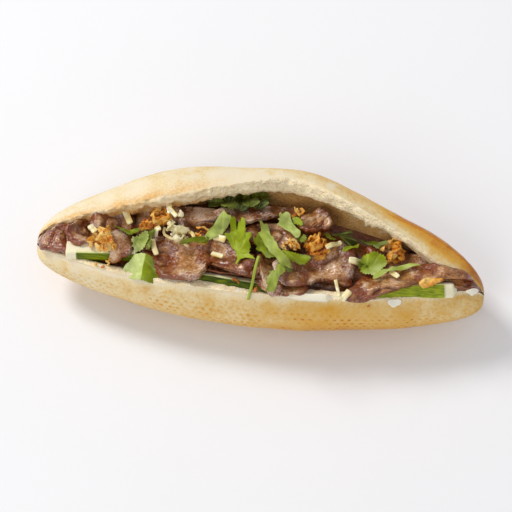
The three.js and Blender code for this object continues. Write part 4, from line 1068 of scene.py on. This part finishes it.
# One facet of the fold is painted pale: painted light on its lit side.
lay("leaf_folded", CORIANDER,
    leaf([(-67.5, -16), (-62.5, -16), (-58, -17), (-56.5, -21), (-54, -23.5), (-51, -27.5), (-52, -31),
         (-57, -31.5), (-62, -31), (-68, -30), (-76, -28), (-73, -23.5), (-69.5, -19)], turn=86, fold=0.62,
         lift=3.5, stiff=5, deep=0.2, pale_side=3.0, wave=0, teeth=0.3, lobes=0))
lay("leaf_blade", CORIANDER,
    leaf([(-22.5, 13.5), (-21.7, 13.7), (-19.5, 11.5), (-18, 11.2), (-17.5, 9), (-20.5, 2.5), (-22.5, -1.5),
         (-28, -4.5), (-30.5, -3), (-27.5, 4), (-25, 9.5)], turn=55, arch=0.04, lift=1, pale=0.5, deep=0.1,
         teeth=0.2),
    leaf([(-28, -3.5), (-30, -6.5), (-35, -6.5), (-39.5, -7.5), (-44.5, -8.5), (-40.5, -5.5), (-35, -4),
         (-30.5, -3)], lift=0.5, deep=0.4, teeth=0.2))
lay("leaf_fan", CORIANDER,
    leaf([(-17.5, 9.5), (-16, 10.5), (-15, 9.5), (-14.3, 6), (-13.5, 3), (-12, -1), (-13, -8), (-14, -9),
         (-16, -6.5), (-17.5, -4), (-19.5, -2), (-20.5, 0.5), (-19, 1), (-17.5, 2), (-17.5, 4.5), (-18, 7.5)],
         turn=100, arch=0.02, lift=1, deep=0.0, foot=6, teeth=0.3),
    leaf([(-13.8, 4.5), (-13.5, 9), (-12.5, 8.5), (-12, 11), (-10.5, 10.5), (-9.5, 8), (-10.5, 4), (-9, 5.5),
         (-8.7, 3), (-6.5, 3.5), (-5.5, 2.5), (-5.5, 0.5), (-6.5, -1.5), (-5.5, -3.5), (-5, -5.5), (-5.5, -7),
         (-5, -10), (-7, -12), (-11, -11), (-14, -8), (-14.5, -2)], turn=100, arch=0.01, lift=1.5, deep=0.05,
         foot=18, teeth=0.3),
    leaf([(-12, -8), (-5, -8), (-4.5, -12), (-1, -16), (-4.5, -15), (-7, -15), (-9, -16), (-11, -19.5),
         (-11.5, -18.5), (-11, -15.5), (-11.5, -13.5), (-12.5, -12)], lift=0.8, deep=0.05, teeth=0.3))
lay("leaf_big", CORIANDER,
    leaf([(-2, 10), (-1, 10.5), (0.5, 9.5), (2.5, 10), (3, 8), (4, 6), (5, 3.5), (6.5, 3), (7, 1),
         (8.5, -0.5), (10, -3.5), (11.5, -5.5), (14, -8.5), (16, -10.5), (18.5, -15), (18, -16), (19, -17.5),
         (17.5, -18), (14.5, -17.5), (12.5, -16.5), (10, -13), (8, -10.5), (5.5, -8), (4, -5), (2, -2.5),
         (0.5, 0), (-1.5, 2.5), (-2.5, 3.5), (-1, 5), (-1, 7)], turn=-50, arch=0.03, lift=1.8, pale=0.35,
         deep=0.1, teeth=0.3),
    leaf([(11.5, -5.5), (14.5, -6), (18, -6), (21.5, -6.5), (25, -6.5), (29, -7.5), (27, -10.5),
         (24.5, -12.5), (17.5, -12.5), (15.5, -11), (13.5, -8)], lift=1.2, deep=0.2),
    leaf([(-4.5, 1), (-3, 1), (-2.5, 3), (-1, 2.5), (1, 0.5), (3, -3), (5, -6), (7.5, -9), (9.5, -11.5),
         (7, -12), (7, -13), (4.5, -13), (3.5, -11.5), (1.5, -9), (2.5, -7.5), (0, -7.5), (-2, -6),
         (-2, -3.5), (-3.5, -2.5)], lift=0.4, deep=0.25, teeth=0.3))
lay("leaf_low", CORIANDER,
    leaf([(11.5, -17), (14, -17.5), (16, -19.5), (15, -21.5), (13, -24), (12.5, -27.5), (11.5, -31.5),
         (10, -32.5), (6.5, -31.5), (7.5, -30), (6, -28), (7, -26.5), (6, -25.5), (8, -23.5), (7.5, -22),
         (9, -21), (11, -20)], turn=60, arch=0.04, lift=0.8, deep=0.15, pale=0.25, teeth=0.3),
    leaf([(15, -17.5), (17.5, -18), (19.5, -17.5), (20.5, -19), (19.5, -20.5), (17, -20.5), (15.5, -19)],
         lift=0.4, deep=0.6))
lay("leaf_rolled", CORIANDER,
    leaf([(8, 16), (9, 17), (10, 16), (12, 18), (14, 17), (15, 14.5), (16.5, 12), (19, 9.5), (21, 8),
         (21.5, 6), (21, 3.5), (19.5, 1.5), (18, 3), (15.5, 6), (13, 7.5), (10.5, 9), (7.5, 11), (8.5, 12.5),
         (7.5, 13.5), (8.5, 14.5)], turn=-55, arch=0.08, lift=2.4, pale=0.7, veins=9, teeth=0.3),
    leaf([(19.5, 4), (21.5, 4.5), (23, 6), (25, 4.5), (25, 2), (24, 0.5), (22, 0), (20, 1.5)], lift=0.6,
         deep=0.6),
    leaf([(15.5, 15), (17.5, 15.5), (19.5, 15.5), (21, 14), (22.5, 12), (21.5, 10), (20, 10.5), (17.5, 11),
         (15.5, 12.5)], lift=0.8, deep=0.15, pale=0.3))
lay("leaf_dark_right", CORIANDER,
    leaf([(42, 8.5), (43.5, 10), (46, 11), (49, 10.5), (51, 8.5), (53.5, 6.5), (52, 5), (50, 3), (47.5, 2.5),
         (45.5, 3), (43.5, 5.5)], turn=10, arch=0.03, lift=1, deep=0.95),
    leaf([(38, 9), (41.5, 11), (44.5, 12.5), (47.5, 14), (49.5, 13), (47.5, 11.5), (45.5, 10.5), (42.5, 9),
         (40.5, 8.5)], lift=0.4, deep=0.8, teeth=0.2),
    leaf([(34.5, 8.5), (36.5, 9.5), (38, 7.5), (40.5, 5.5), (41.5, 4), (39, 3.5), (36.5, 5), (35, 6.5)],
         lift=0.6, deep=0.65),
    leaf([(45, -1.5), (46, 1), (48.5, 2.5), (51.5, 3.5), (53.5, 6), (53.5, 3), (51, 2), (48.5, 0),
         (46.5, -1.5)], lift=0.5, deep=0.1, teeth=0.2))
lay("leaf_back_right", CORIANDER,
    leaf([(53, 8), (56, 7.5), (59, 7.5), (61.5, 8.5), (65.5, 6.5), (68.5, 7.5), (70, 6), (69, 4.5),
         (66.5, 3.5), (64, 2), (61, 4), (58, 5), (55, 6)], lift=0.8, deep=0.9))
lay("leaf_round_right", CORIANDER,
    leaf([(55.5, -3.5), (57, -1), (60, 0.5), (63.5, 0), (67, -1), (69.5, -3), (70.5, -6.5), (68.5, -9),
         (66.5, -11.5), (64.5, -15), (61.5, -14), (58.5, -13.5), (56, -11.5), (56, -9), (57, -7), (54.5, -6)],
         turn=200, lift=1.4, deep=0.15, pale_side=0.11, veins=7, foot=11, lobes=0.35),
    leaf([(54, -7), (55.5, -4.5), (57, -1.5), (61, -3), (60, -8), (56.5, -10.5), (54.5, -9.5)], lift=0.5,
         deep=0.5))
lay("leaf_blade_right", CORIANDER,
    leaf([(63, -17), (64, -14), (65, -12.5), (68, -10.5), (71, -10), (73, -8), (76, -6.5), (80, -5), (84, -4),
         (88.5, -4.5), (86, -5.5), (82.5, -7), (79.5, -9), (75.5, -11), (72, -12), (68, -12.5), (66.5, -15),
         (65.5, -16.5)], turn=24, arch=0.06, lift=1.2, deep=0.1, pale=0.45, teeth=0.2))
# This bunch lies in shade under the back half, and its deep dark green is partly painted shade.
lay("leaf_bunch_back", CORIANDER, *(
    leaf([(x, y - 2.4), (x - 5, y + 1), (x - 3.6, y + 5), (x + 1.2, y + 6), (x + 6, y + 3.6), (x + 5, y - 1)],
         turn=90 + 12 * ((3 * k) % 5 - 2), rise=0.9, lift=3 + 1.2 * (k % 3) + 2 * (y > 23),
         deep=0.66 + 0.14 * (k % 4), lobes=1.0, teeth=0.7)
    for k, (x, y) in enumerate([(-29, 20), (-21, 17), (-21, 24), (-14, 18), (-15, 25), (-9, 20), (-10, 26), (-4, 20),
                                (-4, 26)])))

rings, marks = strip([(1, -14), (-1, -25), (-3, -36)], wide=1.5, thick=1.4, stiff=2, seed=801)
serve("stem_front_fresh", CORIANDER, [skin(rings, vein=marks["rib"] * 0.6, pale=0.2, deep=0.0)], "stem_front")

# ---- Mayonnaise --------------------------------------------------------------------------------------------
# Rich yellow-white mayonnaise spread along the front cut face, thickest in a dollop that has run over the
# edge.

SPREAD_FROM = -0.42
SPREAD_TO = 0.5
# The way off the front cut face, across the roll and up.
OFF_FACE = np.array([0.67, 0.74])


def mayonnaise_spread():
    """Rings along the front cut face: each leaves the face near the lip, swells to the spread's thickness,
    which is thin but for a long low dollop near the lip, and comes back to it lower down. Its edges wander
    with noise."""
    s = np.linspace(SPREAD_FROM, SPREAD_TO, 230)[:, None]
    x = s * HALF_LENGTH
    wall = inner_wall(s[:, 0])[:, 1:3] * np.stack([half_width(s), depth(s)], -1)
    wall = wall + np.stack([axis_shift(s), 0 * s], -1)
    lip, foot = wall[:, :1], wall[:, 1:]
    run = np.linspace(0, 1, 40)
    dollop = band(s, 0.08, 0.2, 0.31, 0.345)
    thin = (0.3 + 0.4 * grain(9, 91, x) ** 2) * (1 + 0.2 * grain(6, 92, x, run * 8))
    swell = (2.2 + 0.9 * smooth(s, 0.24, 0.3)) * dollop * np.exp(-((run - 0.25) / 0.3) ** 2)
    shape = np.sin(np.pi * run) ** 0.6 * (thin + swell)
    start = 0.12 + 0.12 * grain(6, 93, x) * (1 - dollop) - 0.42 * dollop
    end = start + 0.15 + 0.6 * np.sin(np.pi * (s - SPREAD_FROM) / (SPREAD_TO - SPREAD_FROM)).clip(0.03) ** 0.3
    down = (start + (end - start) * run)[..., None]
    surface = lip + (foot - lip) * down + OFF_FACE * shape[..., None]
    back = surface[:, ::-4] - OFF_FACE * (shape[:, ::-4, None] + 2.0)
    ring = np.concatenate([surface, back[:, 1:-1]], 1)
    return np.concatenate([np.broadcast_to(x[..., None], ring.shape[:2] + (1,)), ring], -1)


def mayonnaise_finish():
    """Smooth glossy off-white sauce, with faint streaks of meat juice."""
    material, place = finish_of("mayonnaise")
    blotch, speckle, height = place.mottled(6.0, 2.0)
    colour = blotch.ranged(0.55, 1, 0, 0.5).mixed((0.94, 0.87, 0.70), (0.88, 0.76, 0.50))
    return finished(material, colour, speckle.ranged(0, 1, 0.12, 0.28), height, (0.25, 0.001),
                    soft=(0.4, (1.0, 0.8, 0.5), 0.002))


MAYONNAISE = "mayonnaise", "spread", mayonnaise_finish()
serve("mayonnaise_spread", MAYONNAISE, [skin(mayonnaise_spread())], "mayonnaise")

# Small spots of it and a few crumbs of fried shallot lie on the front lip and near it.
SPOTS = [[(72, -28), (75.5, -26.5), (79.5, -26.5), (79.5, -29), (74.5, -30.5)],
         [(114, -17.5), (118, -15.5), (121, -15.5), (118, -19)]]
spots = [thin_piece(rim, thick=0.8, stiff=1, seed=950 + k, ragged=0.5, lift=-0.3)[0]
         for k, rim in enumerate(SPOTS)]
serve("mayonnaise_spots", MAYONNAISE, [skin(rings) for rings in spots])

CRUMBS = [(-89, -23.5), (-86, -23), (-83.5, -23), (-81, -21.5), (62.5, -32.3), (-11.5, -27.5), (3, -30)]
skins = []
drawn = np.random.default_rng(600)
for at in CRUMBS:
    rings, toast = shallot_curl(above(at, 1, 0.6), drawn.uniform(1.6, 2.4), drawn)
    skins.append(skin(rings, toast=toast))
serve("shallot_crumbs", SHALLOT, skins)

# ---- Camera and light --------------------------------------------------------------------------------------
# Seen from the front and about 60 degrees above with a long lens. A large soft light stands behind on the
# left, a weaker one fills from the front, and the floor is a plain pale sweep.

TURN_TO_SIDE = np.radians(6.65)
LOOK_DOWN = np.radians(60)
DISTANCE = 1.2
PIXELS_PER_MM = 1.796
IMAGE_PIXELS = 512
SHIFT_PIXELS = -6, -9
SENSOR_MM = 36.0
looks_along = Vector((-np.sin(TURN_TO_SIDE) * np.cos(LOOK_DOWN), np.cos(TURN_TO_SIDE) * np.cos(LOOK_DOWN),
                      -np.sin(LOOK_DOWN)))
axis_point = Vector(STANDS_AT / MM_PER_METRE)
lens = bpy.data.cameras.new("camera")
lens.sensor_width = SENSOR_MM
lens.lens = SENSOR_MM * PIXELS_PER_MM * DISTANCE * MM_PER_METRE / IMAGE_PIXELS
lens.shift_x, lens.shift_y = (pixels / IMAGE_PIXELS for pixels in SHIFT_PIXELS)
lens.clip_start = 0.05


def aimed(data, place, along):
    """An object for a camera or a light, at a place and facing along a direction."""
    held = bpy.data.objects.new(data.name, data)
    bpy.context.scene.collection.objects.link(held)
    held.location = place
    held.rotation_euler = along.to_track_quat("-Z", "Y").to_euler()
    return held


def soft_light(name, place, size, watts, colour):
    """A square light panel at a place, facing the sandwich."""
    panel = bpy.data.lights.new(name, "AREA")
    panel.size, panel.energy, panel.color = size, watts, colour
    aimed(panel, place, Vector((0, 0, 0.03)) - Vector(place))


bpy.context.scene.camera = aimed(lens, axis_point - looks_along * DISTANCE, looks_along)
soft_light("window", (-1.6, 1.0, 2.0), 0.8, 42, (1.0, 0.985, 0.96))
soft_light("fill", (-1.1, -2.0, 2.0), 1.5, 24, (1.0, 0.975, 0.94))
sky = bpy.data.worlds.new("studio")
sky.use_nodes = True
sky_light = sky.node_tree.nodes["Background"].inputs
sky_light["Color"].default_value = (0.965, 0.97, 1.0, 1)
sky_light["Strength"].default_value = 0.5
bpy.context.scene.world = sky
bpy.context.scene.view_settings.view_transform = "Standard"

floor_mesh = bpy.data.meshes.new("floor")
FLOOR_HALF = 3.0
floor_mesh.from_pydata([(x * FLOOR_HALF, y * FLOOR_HALF, 0) for x, y in ((-1, -1), (1, -1), (1, 1), (-1, 1))], [],
                       [(0, 1, 2, 3)])
floor_finish, floor_place = finish_of("floor")
floor_white = floor_place.noise(6.0).mixed((0.87, 0.87, 0.89), (0.90, 0.90, 0.92))
floor_shader = floor_finish.node_tree.nodes["Principled BSDF"]
floor_finish.node_tree.links.new(floor_white.socket, floor_shader.inputs["Base Color"])
floor_shader.inputs["Roughness"].default_value = 0.8
floor_mesh.materials.append(floor_finish)
floor = bpy.data.objects.new("floor", floor_mesh)
bpy.context.scene.collection.objects.link(floor)
